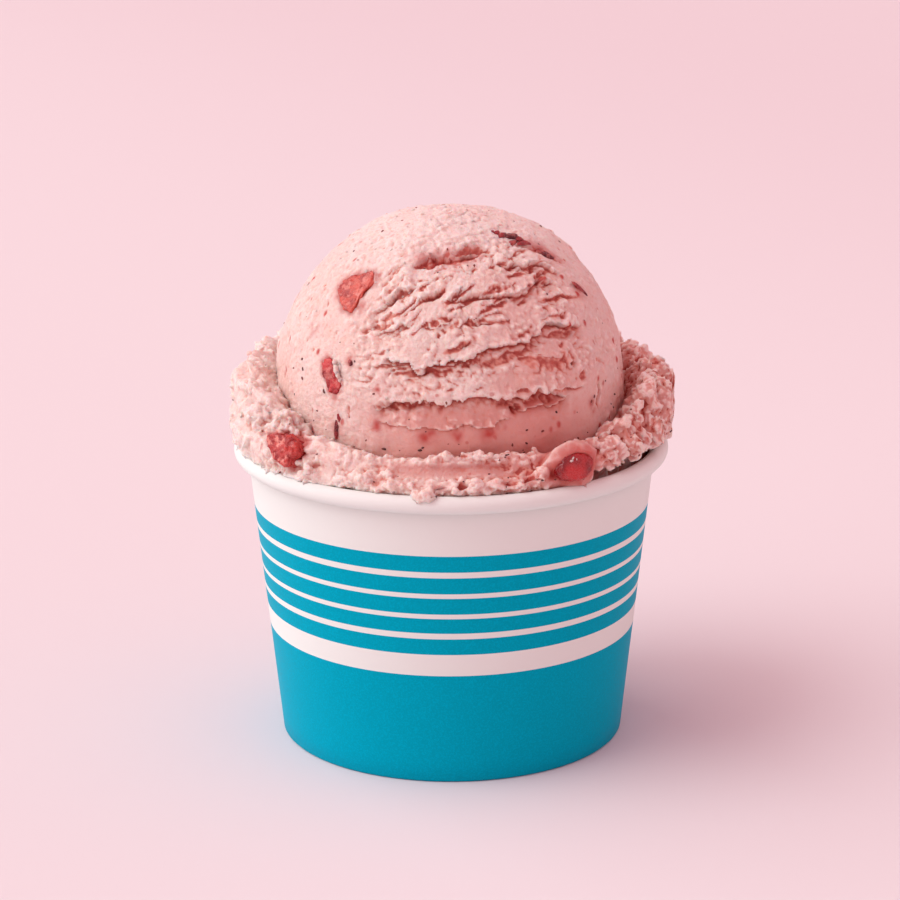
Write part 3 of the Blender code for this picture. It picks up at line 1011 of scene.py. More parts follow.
@dataclass
class Scoop:
    """The round scoop: smooth skin low and at the sides, torn across the top."""

    berries: list[Berry]
    radius: float = SCOOP_RADIUS
    middle_height: float = SCOOP_HEIGHT
    grid_halves: int = 79
    front_density: float = 0.2
    cut_height: float = -0.0080
    swell: float = 0.0005
    pocket: float = 0.0007
    full_red_depth: float = 0.0006
    crumb_depth: float = 0.00040
    pore_depth: float = 0.00030
    pit_depth: float = 0.0005
    rows: tuple[Pair, ...] = ((0.0043, 0.00066), (0.0023, 0.00042))
    tears: tuple[Tear, ...] = (
        Tear(
            ((-26, 85.5), (-18, 83), (-11, 82), (-4, 83), (2, 82.2), (6, 81), (14, 81.4), (23, 82.2),
             (28, 80.6), (34, 81), (42, 85)),
            0.0005, 0.0013, 0.0028, 0.0005,
        ),
        Tear(
            ((-24, 71.5), (-14, 71), (-10, 73), (-5, 71), (0, 70), (7, 68.4), (16, 66), (23, 66),
             (32, 64), (37, 61), (47, 62), (55, 64.5)),
            0.0004, 0.0012, 0.0026, 0.0004,
        ),
        Tear(
            ((-22, 40), (-18, 37), (-12, 32.5), (-4, 32.5), (4, 33), (13, 30), (20, 30)),
            0.0001, 0.0010, 0.0040, 0.0001,
        ),
        Tear(((-33, 57), (-30, 55), (-25, 51), (-23, 46), (-14, 45.5)), 0.0002, 0.0010, 0.0026, 0.0002),
        Tear(((-16, 51.5), (-8, 48), (-1, 44)), 0.0002, 0.0009, 0.0024, 0.0001),
        Tear(((-4, 50.5), (3, 47), (8, 44.5)), 0.0002, 0.0008, 0.0020, 0.0001),
        Tear(((1, 50.5), (12, 48), (18, 49), (32, 48), (43, 46), (53, 48)), 0.0002, 0.0010, 0.0024, 0.0002),
        Tear(((-29, 64), (-19, 59), (-13, 57.5)), 0.0002, 0.0008, 0.0018, 0.0002),
        Tear(((-12, 60.5), (-5, 58), (3, 55)), 0.0002, 0.0004, 0.0013, 0.0002),
        Tear(((0, 59.5), (8, 57), (18, 58)), 0.0002, 0.0004, 0.0014, 0.0002),
        Tear(((26, 38), (36, 37), (50, 40), (60, 45)), 0.0002, 0.0009, 0.0024, 0.0002),
        Tear(
            ((-25, 88.5), (-16, 91.2), (-6, 91.9), (4, 91.6), (13, 91), (21, 89.2)),
            0.0002, 0.0004, 0.0016, 0.0001,
        ),
        Tear(((17, 85.2), (24, 87), (30, 86.2), (36, 87), (42, 84.8)), 0.0000, 0.0010, 0.0020, 0.0000),
        Tear(((120, 76), (140, 73), (160, 75), (182, 78)), 0.0005, 0.0012, 0.0024, 0.0006),
        Tear(((110, 60), (132, 56), (155, 58), (176, 60)), 0.0005, 0.0011, 0.0022, 0.0005),
        Tear(((200, 66), (222, 62), (246, 66)), 0.0004, 0.0011, 0.0020, 0.0005),
        Tear(((96, 44), (130, 40), (165, 42), (205, 45)), 0.0004, 0.0012, 0.0022, 0.0005),
    )
    gouges: tuple[Gouge, ...] = (
        Gouge(-23.5, 49.8, 0.0029, 0.0009, 38), Gouge(-6.5, 48.4, 0.0026, 0.0008, 22),
        Gouge(16, 47.6, 0.0068, 0.0009, 15), Gouge(46, 44.0, 0.0030, 0.0010, 14, 0.0007),
        Gouge(61, 37.0, 0.0044, 0.0012, -50, 0.0005), Gouge(-30, 61, 0.0024, 0.0007, 24),
        Gouge(-5, 57.6, 0.0030, 0.0008, 20), Gouge(11, 57.2, 0.0038, 0.0008, 4),
        Gouge(-8, 34.5, 0.0042, 0.0016, 24, 0.0008),
        Gouge(14, 30.5, 0.0046, 0.0016, 10, 0.0008), Gouge(-8, 73.6, 0.0078, 0.0009, 4),
        Gouge(20, 69.6, 0.0062, 0.0012, 14, 0.0007), Gouge(43, 64.4, 0.0042, 0.0010, -6),
        Gouge(56, 87.5, 0.0022, 0.0006, 80, 0.0010), Gouge(52, 89, 0.0008, 0.0005, 70, 0.0010),
        Gouge(44.5, 75.0, 0.0007, 0.0006, 0, 0.0007),
        Gouge(-17, 84.6, 0.0052, 0.0011, 4, 0.0009), Gouge(26, 84.2, 0.0080, 0.0015, 2, 0.0008),
        Gouge(22, 85.8, 0.0012, 0.0015, 0, 0.0011), Gouge(33, 84.6, 0.0022, 0.0012, 0, 0.0011),
    )
    spots: tuple[Spot, ...] = (
        Spot(28, 85.4, 0.0016, 0.50), Spot(36, 85.5, 0.0012, 0.50),
        Spot(21, 86.5, 0.0009, 0.40), Spot(-24.5, 91.5, 0.0010, 1.0),
        Spot(-20, 92, 0.0007, 0.6), Spot(-8.5, 94.4, 0.0010, 1.0),
        Spot(-6.5, 93.6, 0.0009, 0.9), Spot(2, 94, 0.0008, 0.9), Spot(12, 93.6, 0.0011, 1.0),
        Spot(-24, 80, 0.0007, 0.9), Spot(51, 89, 0.0008, 0.95), Spot(53, 92, 0.0007, 0.5),
        Spot(59, 32, 0.0016, 0.60), Spot(62, 35, 0.0019, 0.75), Spot(65, 38.5, 0.0018, 0.75),
        Spot(68, 42, 0.0013, 0.55), Spot(-36, 72, 0.0008, 0.75), Spot(-58, 67, 0.0008, 0.45),
        Spot(-59, 65, 0.0007, 0.40), Spot(-16, 34, 0.0016, 0.60), Spot(-8, 33.5, 0.0018, 0.65),
        Spot(0, 33.5, 0.0018, 0.70), Spot(8, 33, 0.0017, 0.65), Spot(15, 31.5, 0.0014, 0.60),
        Spot(-38, 54, 0.0013, 0.6), Spot(-39.4, 95, 0.0012, 0.7), Spot(-40, 84, 0.0010, 0.6),
        Spot(63, 53, 0.0012, 0.8),
    )

    def __post_init__(self) -> None:
        """Prepare the seeded noises."""
        self.soft = LatticeNoise(11)
        self.rag = LatticeNoise(23)
        self.cells = CellNoise(31)

    def angles(self, outward: Points) -> tuple[Points, Points]:
        """Azimuth and polar angle in degrees of unit vectors."""
        return azimuths(outward), np.degrees(np.arccos(np.clip(outward[:, 2], -1.0, 1.0)))

    def torn_zone(self, azimuth: Points, polar: Points) -> Points:
        """Where the surface is torn: 1 over the top front and in a patch behind."""
        wander = 7.0 * self.rag(np.stack([azimuth, polar, polar * 0.0], axis=1), 19.0)
        start = -38.0 + 0.12 * np.maximum(62.0 - polar, 0.0)
        front = ramp(-9, 9, azimuth - start + 1.4 * wander) * ramp(-68, -46, -azimuth + wander)
        front *= ramp(-86, -80, -polar + 0.3 * wander)
        behind = (azimuth - 95.0) % 360.0
        back = ramp(0, 25, behind + wander) * ramp(-165, -130, -behind + wander)
        return np.maximum(front, back * ramp(-86, -72, -polar + wander))

    def row_level(self, azimuth: Points, polar: Points) -> Points:
        """Distance across the torn rows, which climb to the right high on the front."""
        high = ramp(-84, -56, -polar)
        high = high * ramp(-85, -40, azimuth) * ramp(-110, -60, -azimuth)
        climb = np.radians(0.62 * azimuth - 0.0065 * azimuth**2) * np.sin(np.radians(polar))
        return self.radius * (np.radians(polar) + high * climb)

    def tear_relief(self, azimuth: Points, polar: Points, ragged: Points) -> Points:
        """Height, downward hang and redness that the named tears give.

        Args:
            azimuth: azimuth of each corner in degrees.
            polar: polar angle of each corner in degrees.
            ragged: how far each lip wanders there, in degrees.

        Returns:
            Three rows: outward height, downward shift and redness, which is painted shade under the lips.
        """
        height, hang, red = np.zeros((3, len(azimuth)))
        for tear in self.tears:
            sides, lips = np.array(tear.path).T
            turn = (azimuth - sides[0]) % 360.0 + sides[0]
            lip = np.interp(turn, sides, lips)
            below = np.radians(polar - lip + ragged) * self.radius
            run = 4.0 / np.sin(np.radians(lip))
            fade = ramp(0.0, 1.0, (turn - sides[0]) / run)
            fade *= ramp(0.0, 1.0, (sides[-1] - turn) / run)
            above = np.exp(np.minimum(below, 0.0) / tear.reach) * (below < 0.0)
            under = np.exp(-np.maximum(below, 0.0) / tear.reach) * (below >= 0.0)
            height += fade * (tear.rise * above - tear.cut * under)
            hang += fade * tear.hang * np.exp(np.minimum(below, 0.0) / 0.0006) * (below < 0.0)
            # The red below each lip is painted shade, fading down from its edge.
            deep = min(1.0, tear.cut / 0.0012) * fade * (below >= 0.0)
            red = np.maximum(red, deep * np.exp(-np.maximum(below, 0.0) / (0.62 * tear.reach)))
        return np.stack([height, hang, red])

    def torn_rows(self, place: Points, level: Points) -> Points:
        """Height, hang and redness of the short steps and pits between the named tears.

        Args:
            place: places on the smooth ball.
            level: distance across the torn rows.

        Returns:
            Three rows: outward height, downward shift and redness, which is painted shade in the troughs and
                pits.
        """
        flat = np.stack([place[:, 0], place[:, 1], level], axis=1)
        total = np.zeros((3, len(place)))
        for number, (spacing, depth) in enumerate(self.rows):
            shift = flat + 0.31 * number
            wander = 0.55 * spacing * self.soft(shift, 1.5 * spacing)
            wander += 0.22 * spacing * self.rag(shift, 0.55 * spacing) + 0.00022 * self.rag(place, 0.0010)
            phase = (level + wander) / spacing
            saw = phase - np.floor(phase)
            patch = ramp(0.0, 0.28, self.soft(shift * np.array([0.8, 0.8, 1.0]) + 0.4, 1.5 * spacing))
            total[0] += depth * patch * (cliff(saw, 0.12) - 0.6)
            total[1] += 0.4 * depth * patch * ramp(0.75, 1.0, saw)
            # Red at the foot of each cliff and in the pits is painted shade.
            red = ramp(0.0, 0.08, saw) * (1.0 - ramp(0.14, 0.50, saw))
            total[2] = np.maximum(total[2], (1.0 - 0.3 * number) * patch * red)
        ragged = self.soft(flat * np.array([0.55, 0.55, 1.0]) + 0.7, 0.0021) + 0.22 * self.rag(place, 0.0008)
        pit = ramp(0.40, 0.72, ragged)
        total[0] -= self.pit_depth * pit
        total[2] = np.maximum(total[2], 0.75 * pit)
        return total

    def gouged(self, place: Points) -> Points:
        """Height and redness of the named gouges, as two rows; the redness is painted shade, fuller where
        they are deeper.
        """
        wander = 0.0007 * np.stack([self.rag(place + 0.1 * axis, 0.0019) for axis in range(3)], axis=1)
        total = np.zeros((2, len(place)))
        for gouge in self.gouges:
            reach = gouge.reach(place + wander, self.radius)
            total[0] = np.minimum(total[0], -gouge.depth * (1.0 - ramp(0.45, 1.0, reach)))
            red = gouge.depth / self.full_red_depth * (1.0 - ramp(0.50, 1.1, reach))
            total[1] = np.maximum(total[1], red)
        total[1] *= 0.62 * (1.0 + 0.45 * self.rag(place + 0.5, 0.0014))
        return total

    def pores(self, place: Points) -> Points:
        """Strength of the long pores in the smooth skin, some large and many small."""
        lean = place + place[:, [2, 0, 1]] * np.array([0.0, 0.0, 0.25])
        squeezed = lean * np.array([1.0, 1.0, 0.5])
        wander = squeezed + 0.00025 * self.rag(place, 0.0012)[:, None]
        keep = ramp(-0.10, 0.20, self.soft(place + 0.3, 0.0060))
        large = keep * (1.0 - ramp(0.10, 0.20, self.cells(wander, 0.0025)))
        return np.maximum(large, 0.5 * (1.0 - ramp(0.08, 0.20, self.cells(wander + 0.4, 0.0014))))

    def crumble(self, place: Points) -> Points:
        """Height of the fine crumbs on torn ice cream."""
        patch = 0.35 + 0.65 * ramp(-0.30, 0.30, self.soft(place + 0.8, 0.0045))
        rough = self.rag.billow(place, 0.0020, 3) + 0.35 * self.soft.billow(place + 0.5, 0.0011, 1)
        return self.crumb_depth * patch * rough

    def relief(self, outward: Points) -> tuple[Points, Points, Points]:
        """All heights, hangs and redness of the surface, by direction.

        Args:
            outward: unit vectors from the scoop's middle.

        Returns:
            The outward height, the downward shift and the redness of each corner, which is painted shade in
            the tears, rows, gouges and pores.
        """
        azimuth, polar = self.angles(outward)
        place = outward * self.radius
        torn = self.torn_zone(azimuth, polar)
        ragged = 1.8 * self.rag(place, 0.0042) + 1.3 * self.rag(place + 0.7, 0.0017)
        ragged = ragged + 0.5 * self.rag(place, 0.0008)
        total = self.tear_relief(azimuth, polar, ragged)
        hollows = self.gouged(place)
        rows = self.torn_rows(place, self.row_level(azimuth, polar))
        strong = torn * (0.35 + 0.65 * ramp(24, 46, polar))
        rows *= strong * (0.25 + 0.75 * ramp(-42, -20, azimuth))
        low = ramp(76, 88, polar) * ramp(-40, -10, azimuth) * ramp(-70, -45, -azimuth)
        pore = (1.0 - torn) * (1.0 - 0.75 * low) * self.pores(place)
        rough = np.maximum(np.maximum(torn, 0.48 * (1.0 - low)), 1.6 * hollows[1])
        slab = ramp(-93.0, -90.5, -polar)
        slab = slab * ramp(-26, -18, azimuth) * ramp(-22, -12, -azimuth)
        rough = np.maximum(rough, 0.75 * slab) * (1.0 - 0.35 * ramp(-36, -20, -polar))
        height = total[0] + rows[0] + rough * self.crumble(place) - self.pore_depth * pore + hollows[0]
        height += self.swell * self.soft(place, 0.016) + 0.5 * self.swell * self.soft(place, 0.007)
        height += (1.0 - torn) * (0.00006 * self.rag(place, 0.0012) + 0.00024 * self.soft(place, 0.0035))
        # The red of tears, rows, pores and gouges is painted shade in those hollows.
        red = np.maximum(np.maximum(total[2], rows[2]), np.maximum(0.75 * pore, hollows[1]))
        red *= 1.0 + 0.35 * self.rag(place, 0.0013)
        return height, total[1] + rows[1], np.clip(red, 0.0, 1.0)

    def density_and_shade(self, azimuth: Points, polar: Points) -> Points:
        """Where the skin is drawn pinker and smoother: strongly low on the front and at the right, as dense
        skin and painted shade, and a little at the left.
        """
        low = ramp(80, 88, polar) * ramp(-50, 0, azimuth) * ramp(-150, -100, -azimuth)
        low *= 1.0 - 0.45 * ramp(30, 58, azimuth)
        right = ramp(2, 26, azimuth) * ramp(-150, -100, -azimuth) * ramp(30, 62, polar)
        right *= 1.0 - 0.4 * ramp(40, 66, azimuth)
        left = ramp(-150, -100, azimuth) * ramp(25, 60, -azimuth)
        return np.maximum(low, np.maximum(0.55 * right, 0.20 * left))

    def sink_pockets(self, points: Points, outward: Points) -> Points:
        """Press a shallow pocket under each chunk that lies in the scoop."""
        depth = np.zeros(len(points))
        for berry in self.berries:
            depth = np.maximum(depth, 1.0 - ramp(0.78, 0.98, berry.footprint(points)))
        return points - outward * (self.pocket * depth)[:, None]

    def stains(self, outward: Points) -> Points:
        """Strength of the red stains, by direction."""
        place = outward * self.radius
        wander = 0.0005 * np.stack([self.rag(place + axis, 0.0013) for axis in range(3)], axis=1)
        azimuth, polar = self.angles(outward)
        flecks = 1.0 - ramp(0.09, 0.20, self.cells(place * np.array([1.0, 1.0, 0.7]) + 0.9, 0.0031))
        likely = 0.30 + 0.70 * ramp(22, 44, np.abs(azimuth)) * ramp(20, 50, polar)
        strength = likely * flecks
        for spot in self.spots:
            middle = np.array(direction(spot.azimuth, spot.polar)) * self.radius
            reach = np.linalg.norm(place + wander - middle, axis=1) / spot.size
            strength = np.maximum(strength, spot.strength * np.exp(-(reach**2)))
        for berry in self.berries:
            edge = berry.footprint(place + np.array([0.0, 0.0, self.middle_height]) + wander)
            strength = np.maximum(strength, 0.6 * (1.0 - ramp(0.95, 1.35, edge)))
        return strength

    def build(self, finish: Material) -> Piece:
        """Make and dress the scoop.

        Args:
            finish: the ice cream's material.

        Returns:
            The finished piece, on which seeds and crumbs are set.
        """
        deselect_all()
        bpy.ops.mesh.primitive_cube_add(size=2.0)
        piece = bpy.context.active_object
        piece.name = "scoop"
        with edit_mode(piece):
            bpy.ops.mesh.subdivide(number_cuts=1)
            bpy.ops.mesh.subdivide(number_cuts=self.grid_halves - 1)
        grid = np.tan(read_points(piece) * 0.25 * math.pi)
        grid /= np.linalg.norm(grid, axis=1, keepdims=True)
        grid -= self.front_density * np.array([0.0, 0.9, -0.4])
        outward = grid / np.linalg.norm(grid, axis=1, keepdims=True)
        write_points(piece, outward * self.radius)
        with edit_mode(piece):
            bpy.ops.mesh.bisect(
                plane_co=(0.0, 0.0, self.cut_height),
                plane_no=(0.0, 0.0, 1.0),
                clear_inner=True,
                use_fill=True,
            )
        outward = read_points(piece)
        outward /= np.linalg.norm(outward, axis=1, keepdims=True)
        height, hang, red = self.relief(outward)
        azimuth, polar = self.angles(outward)
        side, tilt = np.radians(azimuth), np.radians(polar)
        down = np.stack([np.sin(side) * np.cos(tilt), -np.cos(side) * np.cos(tilt), -np.sin(tilt)], axis=1)
        points = outward * (self.radius + height)[:, None] + down * hang[:, None]
        points += np.array([0.0, 0.0, self.middle_height])
        write_points(piece, self.sink_pockets(points, outward))
        # Faces turned downward, under the lips, are painted red: painted shade.
        red = np.maximum(red, ramp(0.40, 0.75, (read_normals(piece) * down).sum(axis=1)))
        # The hollow number paints shade into hollows and a paler highlight on crests.
        fine = hollow_depth(piece, 4, 0.00016)
        broad = hollow_depth(piece, 24, 0.0006)
        hollow = np.clip(0.40 * fine + 0.40 * broad + 0.75 * red, -1.0, 1.0)
        # Hollows are painted paler on the top and at the left, where the light falls: painted light.
        pale = (0.28 + 0.72 * ramp(14, 36, polar)) * (0.66 + 0.34 * ramp(-38, -6, azimuth))
        hollow *= np.where(hollow > 0.0, pale, 1.0)
        # The top is painted paler still: painted light from above.
        painted_top_light = 0.40 * (1.0 - ramp(18, 50, polar)) + 0.16 * (1.0 - ramp(60, 84, polar))
        hollow -= painted_top_light * (1.0 - ramp(0.25, 0.60, hollow))
        store_ice(piece, hollow, self.stains(outward), self.density_and_shade(azimuth, polar))
        finish_piece(piece, [finish], ("ice_cream",))
        return piece


@dataclass(frozen=True)
class Lump:
    """A lump of ice cream in the collar: azimuth, radius, height and half sizes."""

    azimuth: float
    radius: float
    height: float
    size: Triple

    def middle(self) -> Vector:
        """Its middle."""
        return direction(self.azimuth, 90.0) * self.radius + Vector((0.0, 0.0, self.height))

    def place(self) -> Matrix:
        """Its place, upright, with its thickness along the outward direction."""
        upright = upright_on(direction(self.azimuth, 90.0))
        return Matrix.Translation(self.middle()) @ upright @ stretch(self.size)


@dataclass
class Collar:
    """The ragged collar that the scoop pushed up, and the fill below it.

    A station is an azimuth with the crest's height and radius, the widest
    radius, the radius in the rim, the lip's height and the crease's depth.
    """

    cup: PaperCup
    scoop: Scoop
    berries: list[Berry]
    around: int = 560
    across: int = 112
    voxel: float = 0.00032
    most_triangles: int = 196_000
    neck_height: float = 0.0526
    widest: float = 0.0386
    squeeze_from: float = 0.0384
    ring_radius: float = 0.035
    fold_depth: float = 0.0016
    gap_depth: float = 0.0015
    crumb_depths: Pair = (0.00056, 0.00028)
    sheet_depths: Pair = (0.00085, 0.00135)
    sheet_spacings: Pair = (0.0034, 0.0040)
    clear_ball: float = 0.0052
    fill_top: float = 0.0500
    fill_steps: int = 12
    stations: tuple[tuple[float, ...], ...] = (
        (0, 0.0583, 0.0318, 0.0360, 0.0345, 0.0523, 0.0012),
        (30, 0.0580, 0.0320, 0.0358, 0.0343, 0.0524, 0.0014),
        (45, 0.0588, 0.0328, 0.0360, 0.0328, 0.0541, 0.0022),
        (60, 0.0606, 0.0337, 0.0368, 0.0322, 0.0546, 0.0036),
        (76, 0.0644, 0.0336, 0.0378, 0.0328, 0.0543, 0.0050),
        (100, 0.0662, 0.0336, 0.0384, 0.0342, 0.0532, 0.0046),
        (145, 0.0672, 0.0341, 0.0379, 0.0343, 0.0530, 0.0026),
        (190, 0.0670, 0.0342, 0.0378, 0.0343, 0.0530, 0.0022),
        (230, 0.0674, 0.0341, 0.0379, 0.0343, 0.0530, 0.0022),
        (268, 0.0666, 0.0342, 0.0381, 0.0343, 0.0528, 0.0022),
        (288, 0.0646, 0.0340, 0.0380, 0.0344, 0.0524, 0.0020),
        (300, 0.0620, 0.0337, 0.0374, 0.0344, 0.0523, 0.0016),
        (314, 0.0594, 0.0328, 0.0366, 0.0345, 0.0523, 0.0012),
        (330, 0.0578, 0.0320, 0.0359, 0.0345, 0.0523, 0.0010),
        (346, 0.0579, 0.0317, 0.0359, 0.0345, 0.0523, 0.0010),
        (360, 0.0583, 0.0318, 0.0360, 0.0345, 0.0523, 0.0012),
    )
    berry_lump: Lump = Lump(34.5, 0.0345, 0.0556, (0.0050, 0.0045, 0.0034))
    lumps: tuple[Lump, ...] = (
        Lump(-7, 0.0368, 0.0531, (0.0027, 0.0012, 0.0015)),
        Lump(-16, 0.0357, 0.0542, (0.0016, 0.0011, 0.0011)),
        Lump(1, 0.0360, 0.0539, (0.0013, 0.0010, 0.0010)),
        Lump(6.5, 0.0357, 0.0543, (0.0018, 0.0013, 0.0011)),
        Lump(19, 0.0357, 0.0540, (0.0015, 0.0012, 0.0011)),
        Lump(50, 0.0348, 0.0560, (0.0030, 0.0028, 0.0022)),
        Lump(-110, 0.0348, 0.0656, (0.0022, 0.0020, 0.0018)),
        Lump(-66, 0.0362, 0.0608, (0.0026, 0.0022, 0.0014)),
        Lump(-57, 0.0326, 0.0606, (0.0022, 0.0018, 0.0016)),
        Lump(-24, 0.0350, 0.0545, (0.0020, 0.0012, 0.0012)),
        Lump(12, 0.0352, 0.0543, (0.0024, 0.0011, 0.0011)),
        Lump(25, 0.0350, 0.0552, (0.0016, 0.0014, 0.0012)),
    )
    gaps: tuple[Lump, ...] = (
        Lump(-3, 0.0366, 0.0541, (0.0009, 0.0006, 0.0014)),
        Lump(2.8, 0.0366, 0.0546, (0.0006, 0.0005, 0.0014)),
        Lump(15.5, 0.0364, 0.0546, (0.0011, 0.0006, 0.0016)),
        Lump(21.5, 0.0362, 0.0548, (0.0013, 0.0007, 0.0018)),
        Lump(-20.5, 0.0364, 0.0548, (0.0008, 0.0006, 0.0014)),
    )
    crumb_count: int = 560

    def __post_init__(self) -> None:
        """Prepare the seeded noises."""
        self.soft = LatticeNoise(41)
        self.rag = LatticeNoise(43)

    def sizes(self, azimuth: Points) -> Points:
        """Crest height and radius, widest radius, neck, lip height and crease depth, by azimuth."""
        turn = azimuth % 360.0
        table = np.array(self.stations)
        index = np.clip(np.searchsorted(table[:, 0], turn, side="right") - 1, 0, len(table) - 2)
        here, there = table[index], table[index + 1]
        share = ramp(0.0, 1.0, (turn - here[:, 0]) / (there[:, 0] - here[:, 0]))
        sizes = here[:, 1:] + (there[:, 1:] - here[:, 1:]) * share[:, None]
        ring = np.stack([np.sin(np.radians(turn)), np.cos(np.radians(turn)), turn * 0.0], axis=1) * 0.034
        uneven = 0.35 + 0.65 * ramp(25.0, 60.0, np.minimum(turn, 360.0 - turn))
        sizes[:, 0] += uneven * (0.0011 * self.soft(ring, 0.0065) + 0.0007 * self.soft(ring, 0.0030))
        sizes[:, 2] += 0.0006 * uneven * self.soft(ring + 0.1, 0.0080)
        sizes[:, 2] = np.minimum(sizes[:, 2], self.widest)
        return sizes

    def section(self, azimuth: Points) -> tuple[Points, Points]:
        """The collar's closed section: control radii and heights, by azimuth."""
        crest, crest_r, widest, neck, lip, crease = self.sizes(azimuth).T
        rise = crest - lip
        middle, radius = self.scoop.middle_height, self.scoop.radius
        crease_z = crest - crease
        crease_r = np.sqrt(radius**2 - (crease_z - middle) ** 2)
        turn = np.abs((azimuth + 180.0) % 360.0 - 180.0)
        groove = 0.0016 * (1.0 - ramp(0.0060, 0.0096, rise))
        groove = groove + 0.0008 * (1.0 - ramp(12, 26, turn))
        same = np.ones(len(azimuth))
        radii = [
            neck - 0.0006, neck, widest - 0.0005, widest, widest - 0.0006 - groove,
            crest_r + 0.0016 - 0.4 * groove, crest_r, crease_r, crease_r - 0.0018, 0.0280 * same,
        ]
        heights = [
            0.0480 * same, np.minimum(lip, self.neck_height), lip,
            lip + 0.32 * rise, lip + 0.62 * rise,
            crest - 0.0010, crest, crease_z, crease_z - 0.0030, 0.0490 * same,
        ]
        return np.array(radii), np.array(heights)

    def surface(self, azimuth: Points, share: Points) -> Points:
        """Places on the closed section, by azimuth and share of the way round it."""
        radii, heights = self.section(azimuth)
        count = len(radii)
        index = np.floor(share * count).astype(int) % count
        t = share * count - np.floor(share * count)
        column = np.arange(len(azimuth))
        ring = []
        for values in (radii, heights):
            before, here, there, after = (values[(index + step) % count, column] for step in (-1, 0, 1, 2))
            slope_here, slope_there = 0.5 * (there - before), 0.5 * (after - here)
            ring.append(
                here * (2 * t**3 - 3 * t**2 + 1) + slope_here * (t**3 - 2 * t**2 + t)
                + there * (3 * t**2 - 2 * t**3) + slope_there * (t**3 - t**2)
            )
        side = np.radians(azimuth)
        return np.stack([ring[0] * np.sin(side), -ring[0] * np.cos(side), ring[1]], axis=1)

    def right_share(self, turn: Points) -> Points:
        """1 where the collar was pushed up in ribbons, at the right."""
        return ramp(36, 56, turn) * ramp(-136, -112, -turn)

    def folds(self, points: Points, turn: Points) -> Points:
        """Swell of the large folds: along the ring at the left, across it at the right.

        Args:
            points: places on the ring.
            turn: their azimuth in degrees, from -180 to 180.

        Returns:
            The swell of each place, about zero on average.
        """
        arc = np.radians(turn) * self.ring_radius
        radius = spreads(points)
        bend = 0.0018 * self.soft(points + 0.2, 0.0060)
        along = np.stack([0.45 * arc + bend, 1.1 * points[:, 2] + bend, radius], axis=1)
        upward = np.stack([1.3 * arc + bend, 0.42 * points[:, 2], 0.42 * radius], axis=1)
        right = self.right_share(turn)
        behind = ramp(128, 160, np.abs(turn))
        swell = (1.0 - right) * self.soft.billow(along, 0.0060, 2)
        swell = swell + 2.2 * right * self.soft.billow(upward, 0.0048, 2)
        return (1.0 - behind) * swell + behind * self.soft.billow(points, 0.0060, 2)

    def ring_body(self) -> Piece:
        """The ring itself, from a torus whose corners are moved to the sections."""
        deselect_all()
        bpy.ops.mesh.primitive_torus_add(
            major_segments=self.around, minor_segments=self.across, major_radius=1.0, minor_radius=0.3
        )
        piece = bpy.context.active_object
        piece.name = "collar"
        raw = read_points(piece)
        azimuth = azimuths(raw)
        across = spreads(raw) - 1.0
        share = (np.degrees(np.arctan2(raw[:, 2], across)) / 360.0 + 0.25) % 1.0
        points = self.surface(azimuth, share)
        side = np.radians(azimuth)
        outward = np.stack([np.sin(side), -np.cos(side), 0.0 * side], axis=1)
        shown = ramp(0.12, 0.24, share) * ramp(-0.88, -0.74, -share)
        calm = 0.30 + 0.70 * ramp(24, 50, np.abs(azimuth))
        lean = outward * (1.0 - 0.7 * share)[:, None] + np.array([0.0, 0.0, 0.9]) * share[:, None]
        points += lean * (self.fold_depth * calm * shown * self.folds(points, azimuth))[:, None]
        write_points(piece, points)
        with edit_mode(piece):
            bpy.ops.mesh.normals_make_consistent(inside=False)
        return piece

    def groove_share(self, points: Points) -> Points:
        """1 in the smooth groove between the ledge and the ridge at the front."""
        reach = np.hypot((spreads(points) - 0.0331) / 0.0015, (points[:, 2] - 0.0563) / 0.0013)
        at_front = 1.0 - ramp(11.0, 22.0, np.abs(azimuths(points) + 1.0))
        return (1.0 - ramp(0.55, 1.05, reach)) * at_front

    def gap_share(self, points: Points) -> Points:
        """1 in the named dark gaps between the lumps of the front ridge."""
        share = np.zeros(len(points))
        for gap in self.gaps:
            local = moved_by(gap.place().inverted(), points)
            share = np.maximum(share, np.exp(-(local**2).sum(axis=1)))
        return share

    def off_berry_lump(self, points: Points) -> Points:
        """0 on the smooth lump round the wet berry and 1 away from it."""
        reach = np.linalg.norm((points - np.array(self.berry_lump.middle())) / self.clear_ball, axis=1)
        return ramp(0.85, 1.15, reach)

    def rough_share(self, points: Points) -> Points:
        """1 where the ice cream is crumbly and 0 where it is smooth."""
        rough = ramp(-0.20, 0.30, self.soft(points + 0.6, 0.0058))
        rough = np.maximum(rough, 0.75 * (np.abs(azimuths(points)) < 34.0))
        rough *= 1.0 - self.groove_share(points)
        return rough * self.off_berry_lump(points)

    def crumb_places(self) -> list[Matrix]:
        """Where the named lumps and the crumbs sit on the ring."""
        draw = np.random.default_rng(71)
        azimuth = draw.uniform(-180.0, 180.0, self.crumb_count)
        ledge = draw.random(self.crumb_count) < 0.5
        on_ledge = draw.normal(0.60, 0.02, self.crumb_count)
        on_ridge = draw.normal(0.33, 0.03, self.crumb_count)
        line = np.where(ledge, on_ledge, on_ridge)
        spread = draw.uniform(0.22, 0.66, self.crumb_count)
        front = np.abs(azimuth) < 36.0
        middles = self.surface(azimuth, np.where(front, line, spread))
        rough = self.rough_share(middles)
        places = [lump.place() for lump in (self.berry_lump, *self.lumps)]
        for middle, small, keep in zip(middles, front, rough):
            size = 0.00030 + (0.0008 if small else 0.0009) * draw.random() ** 2.0
            turn = upright_on(Vector(draw.normal(size=3)))
            shape = stretch((size * draw.uniform(1.0, 1.7), size, size * draw.uniform(0.5, 0.9)))
            jitter = Vector(draw.normal(size=3) * 0.0002)
            if draw.random() < keep:
                places.append(Matrix.Translation(Vector(middle) * 0.998 + jitter) @ turn @ shape)
        return places

